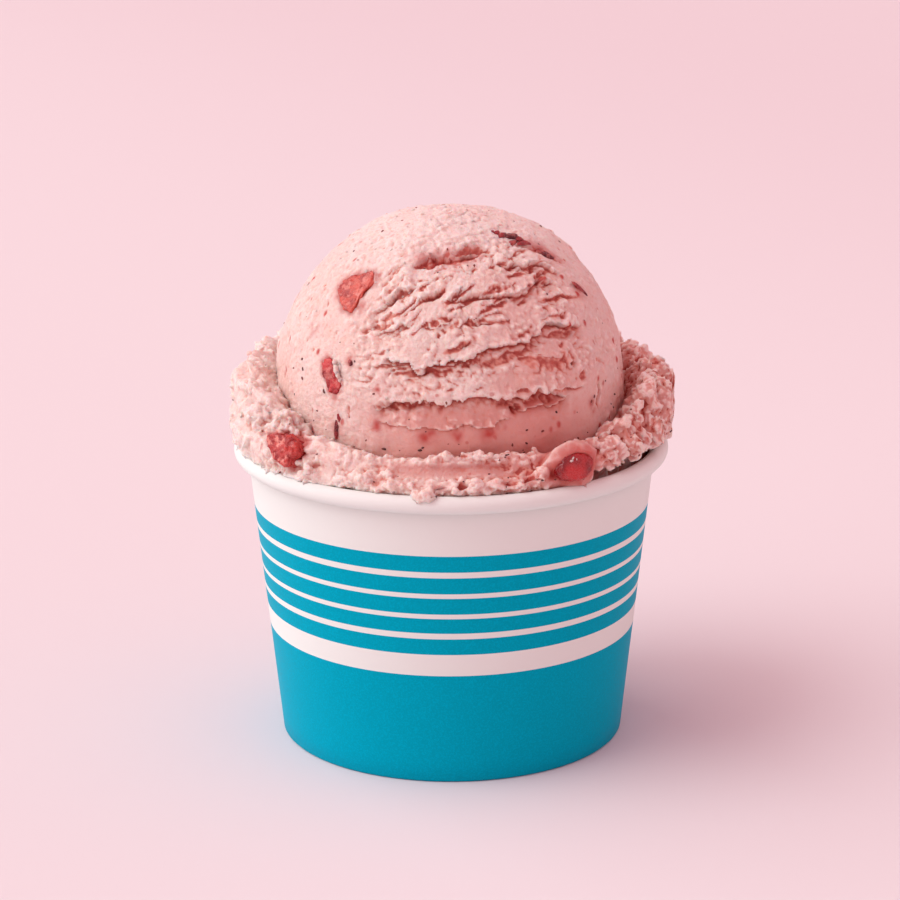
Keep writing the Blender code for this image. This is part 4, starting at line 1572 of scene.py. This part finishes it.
    def steps(self, points: Points, level: Points, spacing: float) -> Points:
        """Ragged overlapping sheets, as a height between -1 and 1.

        Args:
            points: places on the collar.
            level: distance across the sheets.
            spacing: distance from one sheet's edge to the next.

        Returns:
            The height of each place.
        """
        wander = 0.65 * spacing * self.soft(points, 1.6 * spacing)
        wander += 0.22 * spacing * self.rag(points, 0.5 * spacing)
        wander += 0.00018 * self.rag(points, 0.0010)
        saw = (level + wander) / spacing
        saw -= np.floor(saw)
        patch = ramp(-0.15, 0.30, self.soft(points + 0.4, 1.8 * spacing))
        return patch * (cliff(saw, 0.14) - 0.6)

    def fine_relief(self, points: Points) -> Points:
        """Height of the crumbs and sheets on the melted ring."""
        turn = azimuths(points)
        right = self.right_share(turn)
        rough = np.maximum(self.rough_share(points), 0.65 * right)
        warped = points + 0.0005 * self.rag(points, 0.0028)[:, None]
        front = 1.0 - ramp(24, 40, np.abs(turn))
        large, small = self.crumb_depths
        height = large * (0.16 + 0.84 * rough) * (1.0 - 0.4 * front) * self.rag.billow(warped, 0.0024, 3)
        height -= self.gap_depth * self.gap_share(points)
        height += small * (0.15 + 0.85 * rough) * self.soft.billow(warped + 0.3, 0.0011, 2)
        down = 0.75 * spreads(points) - 0.75 * points[:, 2]
        along = np.radians(turn) * self.ring_radius + 0.3 * points[:, 2]
        calm = (0.55 + 0.45 * ramp(20, 40, np.abs(turn))) * (1.0 - self.groove_share(points))
        left_depth, right_depth = self.sheet_depths
        left_spacing, right_spacing = self.sheet_spacings
        height += left_depth * calm * (1.0 - right) * self.steps(points, down, left_spacing)
        height += right_depth * right * self.steps(points, along, right_spacing)
        return height * (0.25 + 0.75 * self.off_berry_lump(points))

    def squeeze(self, points: Points) -> Points:
        """Pull in what bulges too far out."""
        spread = spreads(points)
        over = np.maximum(spread - self.squeeze_from, 0.0)
        moved = points.copy()
        moved[:, :2] *= ((spread - 0.75 * over) / np.maximum(spread, 1e-9))[:, None]
        return moved

    def crumble(self, piece: Piece) -> None:
        """Join the crumbs to the ring, melt them into one skin and roughen it."""
        crumbs = joined_blobs("collar_crumbs", self.crumb_places(), 73, 0.40)
        take(piece)
        crumbs.select_set(True)
        bpy.ops.object.join()
        apply_modifier(piece, "REMESH", mode="VOXEL", voxel_size=self.voxel, adaptivity=0.0)
        points = read_points(piece)
        moved = points + read_normals(piece) * self.fine_relief(points)[:, None]
        write_points(piece, self.cup.clear_of_cup(self.squeeze(moved)))

    def thin_out(self, piece: Piece) -> None:
        """Take corners out of the hidden inner side, so that the piece stays light."""
        points = read_points(piece)
        rise = points[:, 2] - self.scoop.middle_height
        across = np.sqrt(np.maximum(self.scoop.radius**2 - rise**2, 0.0))
        hidden = (spreads(points) < across - 0.0012) | (points[:, 2] < self.neck_height - 0.0012)
        group = piece.vertex_groups.new(name="hidden")
        group.add(np.flatnonzero(hidden).tolist(), 1.0, "REPLACE")
        triangles = sum(len(face.vertices) - 2 for face in piece.data.polygons)
        ratio = min(1.0, self.most_triangles / triangles)
        apply_modifier(piece, "DECIMATE", ratio=ratio, vertex_group="hidden", vertex_group_factor=1000.0)
        piece.vertex_groups.clear()

    def sink_pockets(self, piece: Piece) -> None:
        """Press a shallow pocket under each chunk that lies in the collar."""
        points = read_points(piece)
        for berry in self.berries:
            inside = 1.0 - ramp(0.75, 0.98, berry.footprint(points))
            normal = np.array(berry.normal)
            out = (points - np.array(berry.middle)) @ normal
            over = np.maximum(out - 0.10 * berry.size[2], 0.0)
            points -= normal * (over * inside)[:, None]
        write_points(piece, points)

    def stains(self, points: Points) -> Points:
        """Strength of the red stains near the berries and in blotches, and of painted shade in the front
        groove, in the gaps of the front ridge and as stronger blotches at the right.
        """
        wander = 0.0005 * np.stack([self.rag(points + axis, 0.0016) for axis in range(3)], axis=1)
        # Blotches are stronger at the right as painted shade, and the groove and gap red below is painted
        # shade too.
        right = ramp(0.004, 0.022, points[:, 0])
        strength = (0.22 + 0.20 * right) * ramp(0.40, 0.75, self.soft(points + 0.9, 0.0085))
        strength = np.maximum(strength, 0.36 * self.groove_share(points))
        strength = np.maximum(strength, 0.85 * self.gap_share(points))
        for berry in self.berries:
            edge = berry.footprint(points + wander)
            reach = 2.0 if berry.number == WET_BERRY else 1.25
            strength = np.maximum(strength, 0.85 * (1.0 - ramp(0.95, reach, edge)))
        return strength

    def build_fill(self, finish: Material) -> None:
        """The ice cream inside the cup, below the collar."""
        inset = self.cup.paper + self.cup.gap
        bottom = self.cup.base_recess + self.cup.paper + self.cup.gap
        top = self.fill_top
        line = [(0.0002, bottom), (0.02, bottom)]
        for step in range(self.fill_steps + 1):
            height = bottom + (top - bottom) * step / self.fill_steps
            line.append((self.cup.wall_radius(height) - inset, height))
        line += [(0.02, top), (0.0002, top)]
        piece = turned_sheet("fill", line, 96)
        with edit_mode(piece):
            bpy.ops.mesh.remove_doubles(threshold=0.0005)
            bpy.ops.mesh.normals_make_consistent(inside=False)
        points = read_points(piece)
        points[:, :2] *= (1.0 - 0.006 * np.abs(self.soft(points, 0.012)))[:, None]
        write_points(piece, points)
        # The fill's top, seen in the gap under the rim, is painted as a hollow, and the whole fill takes the
        # dense colour: painted shade inside the cup.
        hollow = 1.1 * ramp(0.045, 0.050, points[:, 2])
        store_ice(piece, hollow, np.zeros(len(points)), np.ones(len(points)))
        finish_piece(piece, [finish], ("ice_cream",))

    def build(self, finish: Material) -> Piece:
        """Make and dress the collar and the fill.

        Args:
            finish: the ice cream's material.

        Returns:
            The finished collar, on which seeds are set.
        """
        piece = self.ring_body()
        self.crumble(piece)
        self.thin_out(piece)
        self.sink_pockets(piece)
        points = read_points(piece)
        # hollow paints shade into the collar's hollows and along its crease with the scoop, and a paler
        # highlight on its crests.
        fine = hollow_depth(piece, 4, 0.00018)
        broad = hollow_depth(piece, 28, 0.0007)
        right = ramp(0.006, 0.024, points[:, 0])
        from_scoop = np.linalg.norm(points - np.array([0.0, 0.0, self.scoop.middle_height]), axis=1)
        crease = 1.0 - ramp(0.0004, 0.0026, from_scoop - self.scoop.radius)
        hollow = np.clip(0.50 * fine + 0.70 * broad + 0.40 * crease, -1.0, 1.0)
        # The front and its right-hand part lie in the scoop's shade and are painted as such below.
        front = ramp(-0.034, 0.014, points[:, 0]) * ramp(-0.004, 0.016, -points[:, 1])
        front_right_shade = ramp(0.003, 0.010, points[:, 0]) * ramp(-0.024, -0.019, -points[:, 0])
        front = np.maximum(0.62 * front, front_right_shade * front)
        # Hollows are painted paler away from the right and the front, on the lit side: painted light.
        hollow -= 0.20 * (1.0 - right) * (1.0 - front)
        # At the right and the front, hollows are painted redder and the dense colour is laid on: painted
        # shade.
        painted_shade_gain = 0.58 + 0.82 * np.maximum(right, front)
        hollow = np.where(hollow > 0.0, hollow * painted_shade_gain, hollow)
        store_ice(piece, hollow, self.stains(points), np.maximum(0.95 * right, 0.80 * front))
        finish_piece(piece, [finish], ("ice_cream",))
        self.build_fill(finish)
        return piece


@dataclass
class StrawberryChunks:
    """The strawberry chunks in the scoop and in the collar.

    A row in the scoop is a number, azimuth, polar angle and size. A row in the
    collar is a number, azimuth, height, radius and size. The outlines follow
    the numbers.
    """

    sink: float = 0.0012
    roughness: float = 0.16
    face_share: float = 0.29
    face_swell: float = 0.25
    grain_depth: float = 0.00020
    wet_grain_depth: float = 0.00003
    in_scoop: tuple[tuple, ...] = (
        (1, -44.9, 49.2, (0.0076, 0.0082, 0.0044)),
        (2, -42.7, 78.1, (0.0056, 0.0062, 0.0042)),
        (3, 138, 64, (0.0068, 0.0060, 0.0044)),
        (4, 214, 50, (0.0062, 0.0064, 0.0042)),
    )
    in_collar: tuple[tuple, ...] = (
        (5, -51, 0.0571, 0.0356, (0.0082, 0.0058, 0.0050)),
        (6, 33.6, 0.0561, 0.0360, (0.0066, 0.0056, 0.0044)),
        (7, 168, 0.0600, 0.0360, (0.0068, 0.0062, 0.0048)),
        (8, -124, 0.0588, 0.0362, (0.0060, 0.0066, 0.0046)),
    )
    outlines: tuple[tuple[float, ...], ...] = (
        (0.66, 1.05, 1.12, 0.80, 0.78, 0.84, 1.02, 0.88, 0.86, 0.92, 1.08, 0.72),
        (0.66, 0.54, 0.52, 0.78, 1.12, 1.18, 0.86, 0.58, 0.56, 0.88, 1.20, 1.10),
        (1.00, 0.82, 0.90, 1.04, 0.82, 0.74, 0.98, 1.04, 0.80, 0.84, 0.98, 0.90),
        (0.84, 1.00, 1.06, 0.84, 0.76, 0.92, 1.04, 0.84, 0.76, 0.90, 1.04, 0.88),
        (1.02, 1.06, 0.92, 0.84, 0.94, 1.10, 0.96, 0.70, 0.72, 0.90, 1.08, 0.88),
        (1.16, 1.12, 0.92, 0.84, 0.80, 0.84, 0.96, 1.02, 0.90, 0.84, 0.92, 1.06),
        (0.80, 0.94, 1.06, 0.92, 0.80, 0.86, 1.04, 0.96, 0.78, 0.86, 1.04, 0.96),
        (0.96, 1.06, 0.84, 0.78, 0.94, 1.06, 0.90, 0.80, 0.92, 1.04, 0.84, 0.82),
    )

    def scoop_berries(self) -> list[Berry]:
        """The chunks that lie in the scoop."""
        berries = []
        for number, azimuth, polar, size in self.in_scoop:
            normal = direction(azimuth, polar)
            middle = normal * (SCOOP_RADIUS - self.sink) + Vector((0.0, 0.0, SCOOP_HEIGHT))
            berries.append(Berry(number, middle, normal, size, self.outlines[number - 1]))
        return berries

    def collar_berries(self) -> list[Berry]:
        """The chunks that lie in the collar."""
        berries = []
        for number, azimuth, height, radius, size in self.in_collar:
            outward = direction(azimuth, 90.0)
            normal = (outward + Vector((0.0, 0.0, 0.25))).normalized()
            middle = outward * radius + Vector((0.0, 0.0, height))
            berries.append(Berry(number, middle, normal, size, self.outlines[number - 1]))
        return berries

    def build_one(self, berry: Berry, finish: Material) -> None:
        """Make one chunk: a rough slab with an uneven outline and a grainy face."""
        deselect_all()
        bpy.ops.mesh.primitive_ico_sphere_add(subdivisions=6, radius=1.0)
        piece = bpy.context.active_object
        piece.name = f"berry_{berry.number}"
        ball = read_points(piece)
        shape = LatticeNoise(100 + berry.number)
        flat = spreads(ball)
        slab = ball.copy()
        slab[:, :2] *= ((flat**0.55 / np.maximum(flat, 1e-6)) * berry.edge(ball))[:, None]
        slab *= 1.0 + 0.6 * self.roughness * shape(ball, 0.8)[:, None] + 0.11 * shape(ball, 0.30)[:, None]
        local = slab * (0.5 * np.array(berry.size))
        top = self.face_share * berry.size[2]
        over = local[:, 2] - top
        local[:, 2] = np.where(over > 0.0, top + self.face_swell * over, local[:, 2])
        depth = self.wet_grain_depth if berry.number == WET_BERRY else self.grain_depth
        local += ball * (depth * shape.billow(local, 0.0016, 3))[:, None]
        write_points(piece, moved_by(berry.frame(), local))
        store(piece, "edge", ramp(0.55, 0.95, flat))
        finish_piece(piece, [finish], (f"strawberry_{berry.number}",))

    def build(self) -> None:
        """Make and dress all chunks."""
        frozen = BerryFinish().material()
        own = {
            1: BerryFinish("coral_strawberry", (0.36, 0.026, 0.018, 1.0), (0.60, 0.100, 0.064, 1.0), net=0.6),
            2: BerryFinish(
                "crimson_strawberry", (0.24, 0.006, 0.012, 1.0), (0.56, 0.045, 0.044, 1.0),
                net=0.35, lumps=260.0,
            ),
            5: BerryFinish("netted_strawberry", (0.30, 0.009, 0.008, 1.0), (0.52, 0.046, 0.036, 1.0)),
            WET_BERRY: BerryFinish(
                "wet_strawberry", (0.20, 0.002, 0.004, 1.0), (0.52, 0.016, 0.016, 1.0),
                net=0.0, roughness=0.20, coat=0.45, grain_depth=self.wet_grain_depth, lumps=130.0,
            ),
        }
        made = {number: finish.material() for number, finish in own.items()}
        for berry in self.scoop_berries() + self.collar_berries():
            self.build_one(berry, made.get(berry.number, frozen))


@dataclass
class Scatter:
    """Seeds, dark slivers and crumbs that lie on the ice cream.

    Named seeds and crumbs are directions on the scoop. A crumb on a berry is
    the berry's number, two distances on its face and its half length. A sliver
    is a direction, a lean in degrees and its half sizes.
    """

    scoop: Piece
    collar: Piece
    berries: list[Berry]
    face_share: float
    seed_count: int = 220
    scoop_seed_share: float = 0.45
    seed_sink: float = 0.2
    crumb_count: int = 110
    crumb_sink: float = 0.3
    named_crumb_length: float = 0.00055
    named_seeds: tuple[Pair, ...] = (
        (-28, 97), (-22, 99.5), (31, 95), (20, 98), (25, 98), (-10, 99), (-25, 81.5),
        (51, 88.5), (52.5, 87), (66, 94), (37, 89.5), (-58, 82), (-59, 79), (-58, 94.5),
        (-45, 83.5), (-48, 90.5), (44.5, 75), (-60, 76), (-62, 88),
    )
    named_crumbs: tuple[Pair, ...] = (
        (-39.6, 75.2), (-38.9, 77.0), (-38.7, 79.0), (-40.2, 74.0), (-39.2, 80.6),
    )
    berry_crumbs: tuple[tuple[int, float, float, float], ...] = (
        # The pale crumbs on berry 6 are ice, and also stand in for its wet glint: partly a painted highlight.
        (6, -0.0009, 0.0010, 0.00036), (6, -0.0005, 0.0014, 0.00030), (6, 0.0002, 0.0011, 0.00022),
        (2, 0.0013, 0.0013, 0.00085), (2, 0.0019, 0.0004, 0.00070), (2, 0.0007, 0.0024, 0.00060),
    )
    slivers: tuple[tuple[float, float, float, Triple], ...] = (
        (64, 53, -58, (0.0019, 0.00050, 0.00030)),
        (-39.4, 95, -97, (0.0019, 0.00050, 0.00030)),
        (-38, 91, -80, (0.0008, 0.00035, 0.00025)),
        (-35.5, 73, -50, (0.0006, 0.00040, 0.00025)),
        (45, 24.5, 10, (0.0010, 0.00065, 0.00045)),
        (50, 26.5, -20, (0.0013, 0.00070, 0.00050)),
        (54, 28.5, -30, (0.0010, 0.00060, 0.00035)),
        (56, 31, -40, (0.0009, 0.00045, 0.00030)),
        (47, 29, 0, (0.0010, 0.00060, 0.00045)),
        (51, 30.5, -10, (0.0010, 0.00045, 0.00030)),
        (42, 23, 20, (0.0007, 0.00040, 0.00030)),
        (38, 22, 20, (0.0004, 0.00030, 0.00025)),
        (62, 37, -45, (0.0019, 0.00080, 0.00055)),
    )

    def pick(self, count: int, seed: int, keep: Points) -> Points:
        """Draw corners of a piece at random.

        Args:
            count: how many corners.
            seed: seed of the draw.
            keep: weight of each corner.

        Returns:
            The corners' numbers.
        """
        draw = np.random.default_rng(seed)
        return draw.choice(len(keep), size=count, replace=False, p=keep / keep.sum())

    def settle(
        self, points: Points, normals: Points, sizes: Points, sink: float, seed: int
    ) -> list[Matrix]:
        """Lay things flat on the surface, each turned at random.

        Args:
            points: where they lie.
            normals: the surface's normal at each.
            sizes: half sizes of each.
            sink: how deep they sit, as a share of their half thickness.
            seed: seed of the turns.

        Returns:
            The place of each.
        """
        draw = np.random.default_rng(seed)
        places = []
        for point, normal, size in zip(points, normals, sizes):
            turn = Matrix.Rotation(draw.uniform(0.0, math.tau), 4, "Z")
            sunk = Vector(point) - Vector(normal) * (sink * size[2])
            places.append(Matrix.Translation(sunk) @ upright_on(Vector(normal)) @ turn @ stretch(size))
        return places

    def nearest(self, points: Points, wanted: tuple[Pair, ...]) -> list[int]:
        """Numbers of the scoop's corners nearest to some directions."""
        outward = points - np.array(Vector((0.0, 0.0, SCOOP_HEIGHT)))
        outward /= np.linalg.norm(outward, axis=1, keepdims=True)
        return [int(np.argmax(outward @ np.array(direction(*pair)))) for pair in wanted]

    def build_seeds(self) -> None:
        """Strawberry seeds, dark and a little glossy, half sunk."""
        places = []
        draw = np.random.default_rng(7)
        shares = (self.scoop_seed_share, 1.0 - self.scoop_seed_share)
        for piece, share, seed in zip((self.scoop, self.collar), shares, (3, 4)):
            points, normals = read_points(piece), read_normals(piece)
            outside = spreads(points) > np.where(points[:, 2] < 0.057, 0.0335, 0.0)
            likely = outside * (0.35 + 0.65 * (points[:, 2] < 0.0625))
            chosen = list(self.pick(int(share * self.seed_count), seed, likely))
            if piece is self.scoop:
                chosen += self.nearest(points, self.named_seeds)
            length = 0.00014 + 0.00020 * draw.random(len(chosen)) ** 1.5
            if piece is self.scoop:
                length[-len(self.named_seeds):] += 0.00010
            sizes = np.stack([length, 0.62 * length, 0.5 * length], axis=1)
            places += self.settle(points[chosen], normals[chosen], sizes, self.seed_sink, seed)
        piece = joined_blobs("seeds", places, 5, 0.2)
        finish_piece(piece, [SeedFinish().material()])

    def build_slivers(self) -> None:
        """Thin dark red slivers of berry, half sunk in the scoop."""
        points = read_points(self.scoop)
        places = []
        for azimuth, polar, lean, size in self.slivers:
            number = self.nearest(points, ((azimuth, polar),))[0]
            turn = upright_on(direction(azimuth, polar)) @ Matrix.Rotation(math.radians(lean), 4, "Z")
            places.append(Matrix.Translation(Vector(points[number])) @ turn @ stretch(size))
        piece = joined_blobs("slivers", places, 29, 0.35, 3)
        store(piece, "edge", np.zeros(len(piece.data.vertices)))
        dark = BerryFinish("sliver_flesh", (0.09, 0.006, 0.010, 1.0), (0.30, 0.026, 0.030, 1.0), net=0.30)
        finish_piece(piece, [dark.material()])

    def build_crumbs(self, finish: Material) -> None:
        """Small crumbs of ice cream along the torn lips and on two berries."""
        points, normals = read_points(self.scoop), read_normals(self.scoop)
        hollow = read_stored(self.scoop, "hollow")
        weight = ramp(0.15, 0.6, np.abs(hollow)) * (points[:, 2] > 0.0672)
        weight *= points[:, 0] < 0.010
        chosen = self.pick(self.crumb_count, 9, weight + 1e-9)
        draw = np.random.default_rng(13)
        length = 0.00020 + 0.00030 * draw.random(len(chosen)) ** 2
        chosen = np.append(chosen, self.nearest(points, self.named_crumbs))
        length = np.append(length, np.full(len(self.named_crumbs), self.named_crumb_length))
        sizes = np.stack([length, 0.75 * length, 0.6 * length], axis=1)
        places = self.settle(points[chosen], normals[chosen], sizes, self.crumb_sink, 17)
        faces = {berry.number: berry for berry in self.berries}
        for number, across, up, size in self.berry_crumbs:
            berry = faces[number]
            on_face = Matrix.Translation((across, up, self.face_share * berry.size[2] + 0.6 * size))
            lean = Matrix.Rotation(900.0 * across + 700.0 * up, 4, "Z")
            places.append(berry.frame() @ on_face @ lean @ stretch((size, 0.6 * size, 0.45 * size)))
        piece = joined_blobs("scoop_crumbs", places, 19, 0.7)
        count = len(piece.data.vertices)
        # The crumbs take a touch of the crest colour, a painted highlight, and a little of the dense colour.
        store_ice(piece, np.full(count, -0.1), np.zeros(count), np.full(count, 0.2))
        finish_piece(piece, [finish])

    def build(self, finish: Material) -> None:
        """Make and dress all that lies on the surface."""
        self.build_seeds()
        self.build_slivers()
        self.build_crumbs(finish)


@dataclass(frozen=True)
class Lamp:
    """A far lamp: its direction from the left, height and width in degrees."""

    name: str
    azimuth: float
    elevation: float
    softness: float
    strength: float


@dataclass
class Studio:
    """Pale floor, soft light from the upper left and the photograph's camera."""

    frame_pixels: float = 900.0
    focal_pixels: float = 3267.7
    distance: float = 0.5707
    elevation: float = math.radians(16.367)
    roll: float = math.radians(-0.243)
    target: Vector = field(default_factory=lambda: Vector((-0.0002, 0.0, 0.05015)))
    sensor: float = 36.0
    floor_size: float = 12.0
    lamps: tuple[Lamp, ...] = (
        Lamp("key", 15.8, 49.6, 39.0, 0.78),
        Lamp("wide_left", 0.0, 25.0, 100.0, 2.2),
        Lamp("wide_right", 180.0, 30.0, 100.0, 0.40),
    )
    lamp_colour: Triple = (0.905, 1.0, 1.0)
    sky: Colour = (0.715, 0.330, 0.370, 1.0)

    def build_camera(self) -> None:
        """The camera, looking along +Y and down."""
        ahead = Vector((0.0, math.cos(self.elevation), -math.sin(self.elevation)))
        right = Vector((1.0, 0.0, 0.0))
        up = right.cross(ahead)
        across = right * math.cos(self.roll) + up * math.sin(self.roll)
        upward = up * math.cos(self.roll) - right * math.sin(self.roll)
        lens = bpy.data.cameras.new("camera")
        lens.sensor_width = self.sensor
        lens.lens = self.sensor * self.focal_pixels / self.frame_pixels
        camera = bpy.data.objects.new("camera", lens)
        turn = Matrix((across, upward, -ahead)).transposed().to_4x4()
        camera.matrix_world = Matrix.Translation(self.target - ahead * self.distance) @ turn
        bpy.context.scene.collection.objects.link(camera)
        bpy.context.scene.camera = camera

    def build_floor(self) -> None:
        """A wide floor that fills the view."""
        deselect_all()
        bpy.ops.mesh.primitive_plane_add(size=self.floor_size)
        floor = bpy.context.active_object
        floor.name = "floor"
        floor.data.materials.append(FloorFinish().material())

    def build_light(self) -> None:
        """A soft key light, wide fill lights and an even pink surround."""
        for lamp in self.lamps:
            light = bpy.data.lights.new(lamp.name, "SUN")
            light.energy = lamp.strength
            light.angle = math.radians(lamp.softness)
            light.color = self.lamp_colour
            source = direction(-90.0 + lamp.azimuth, 90.0 - lamp.elevation)
            holder = bpy.data.objects.new(lamp.name, light)
            holder.rotation_euler = source.to_track_quat("Z", "Y").to_euler()
            bpy.context.scene.collection.objects.link(holder)
        world = bpy.data.worlds.new("surround")
        world.use_nodes = True
        world.node_tree.nodes["Background"].inputs["Color"].default_value = self.sky
        bpy.context.scene.world = world
        bpy.context.scene.view_settings.view_transform = "Standard"

    def build(self) -> None:
        """Set up floor, light and camera."""
        self.build_floor()
        self.build_light()
        self.build_camera()


def main() -> None:
    """Build all pieces in order."""
    logging.basicConfig(level=logging.INFO, format="%(name)s %(message)s")
    Studio().build()
    cup = PaperCup()
    cup.build()
    chunks = StrawberryChunks()
    chunks.build()
    ice = IceCreamFinish().material()
    scoop = Scoop(chunks.scoop_berries())
    scoop_piece = scoop.build(ice)
    collar_piece = Collar(cup, scoop, chunks.collar_berries()).build(ice)
    all_berries = chunks.scoop_berries() + chunks.collar_berries()
    Scatter(scoop_piece, collar_piece, all_berries, chunks.face_share).build(ice)


if __name__ == "__main__":
    main()
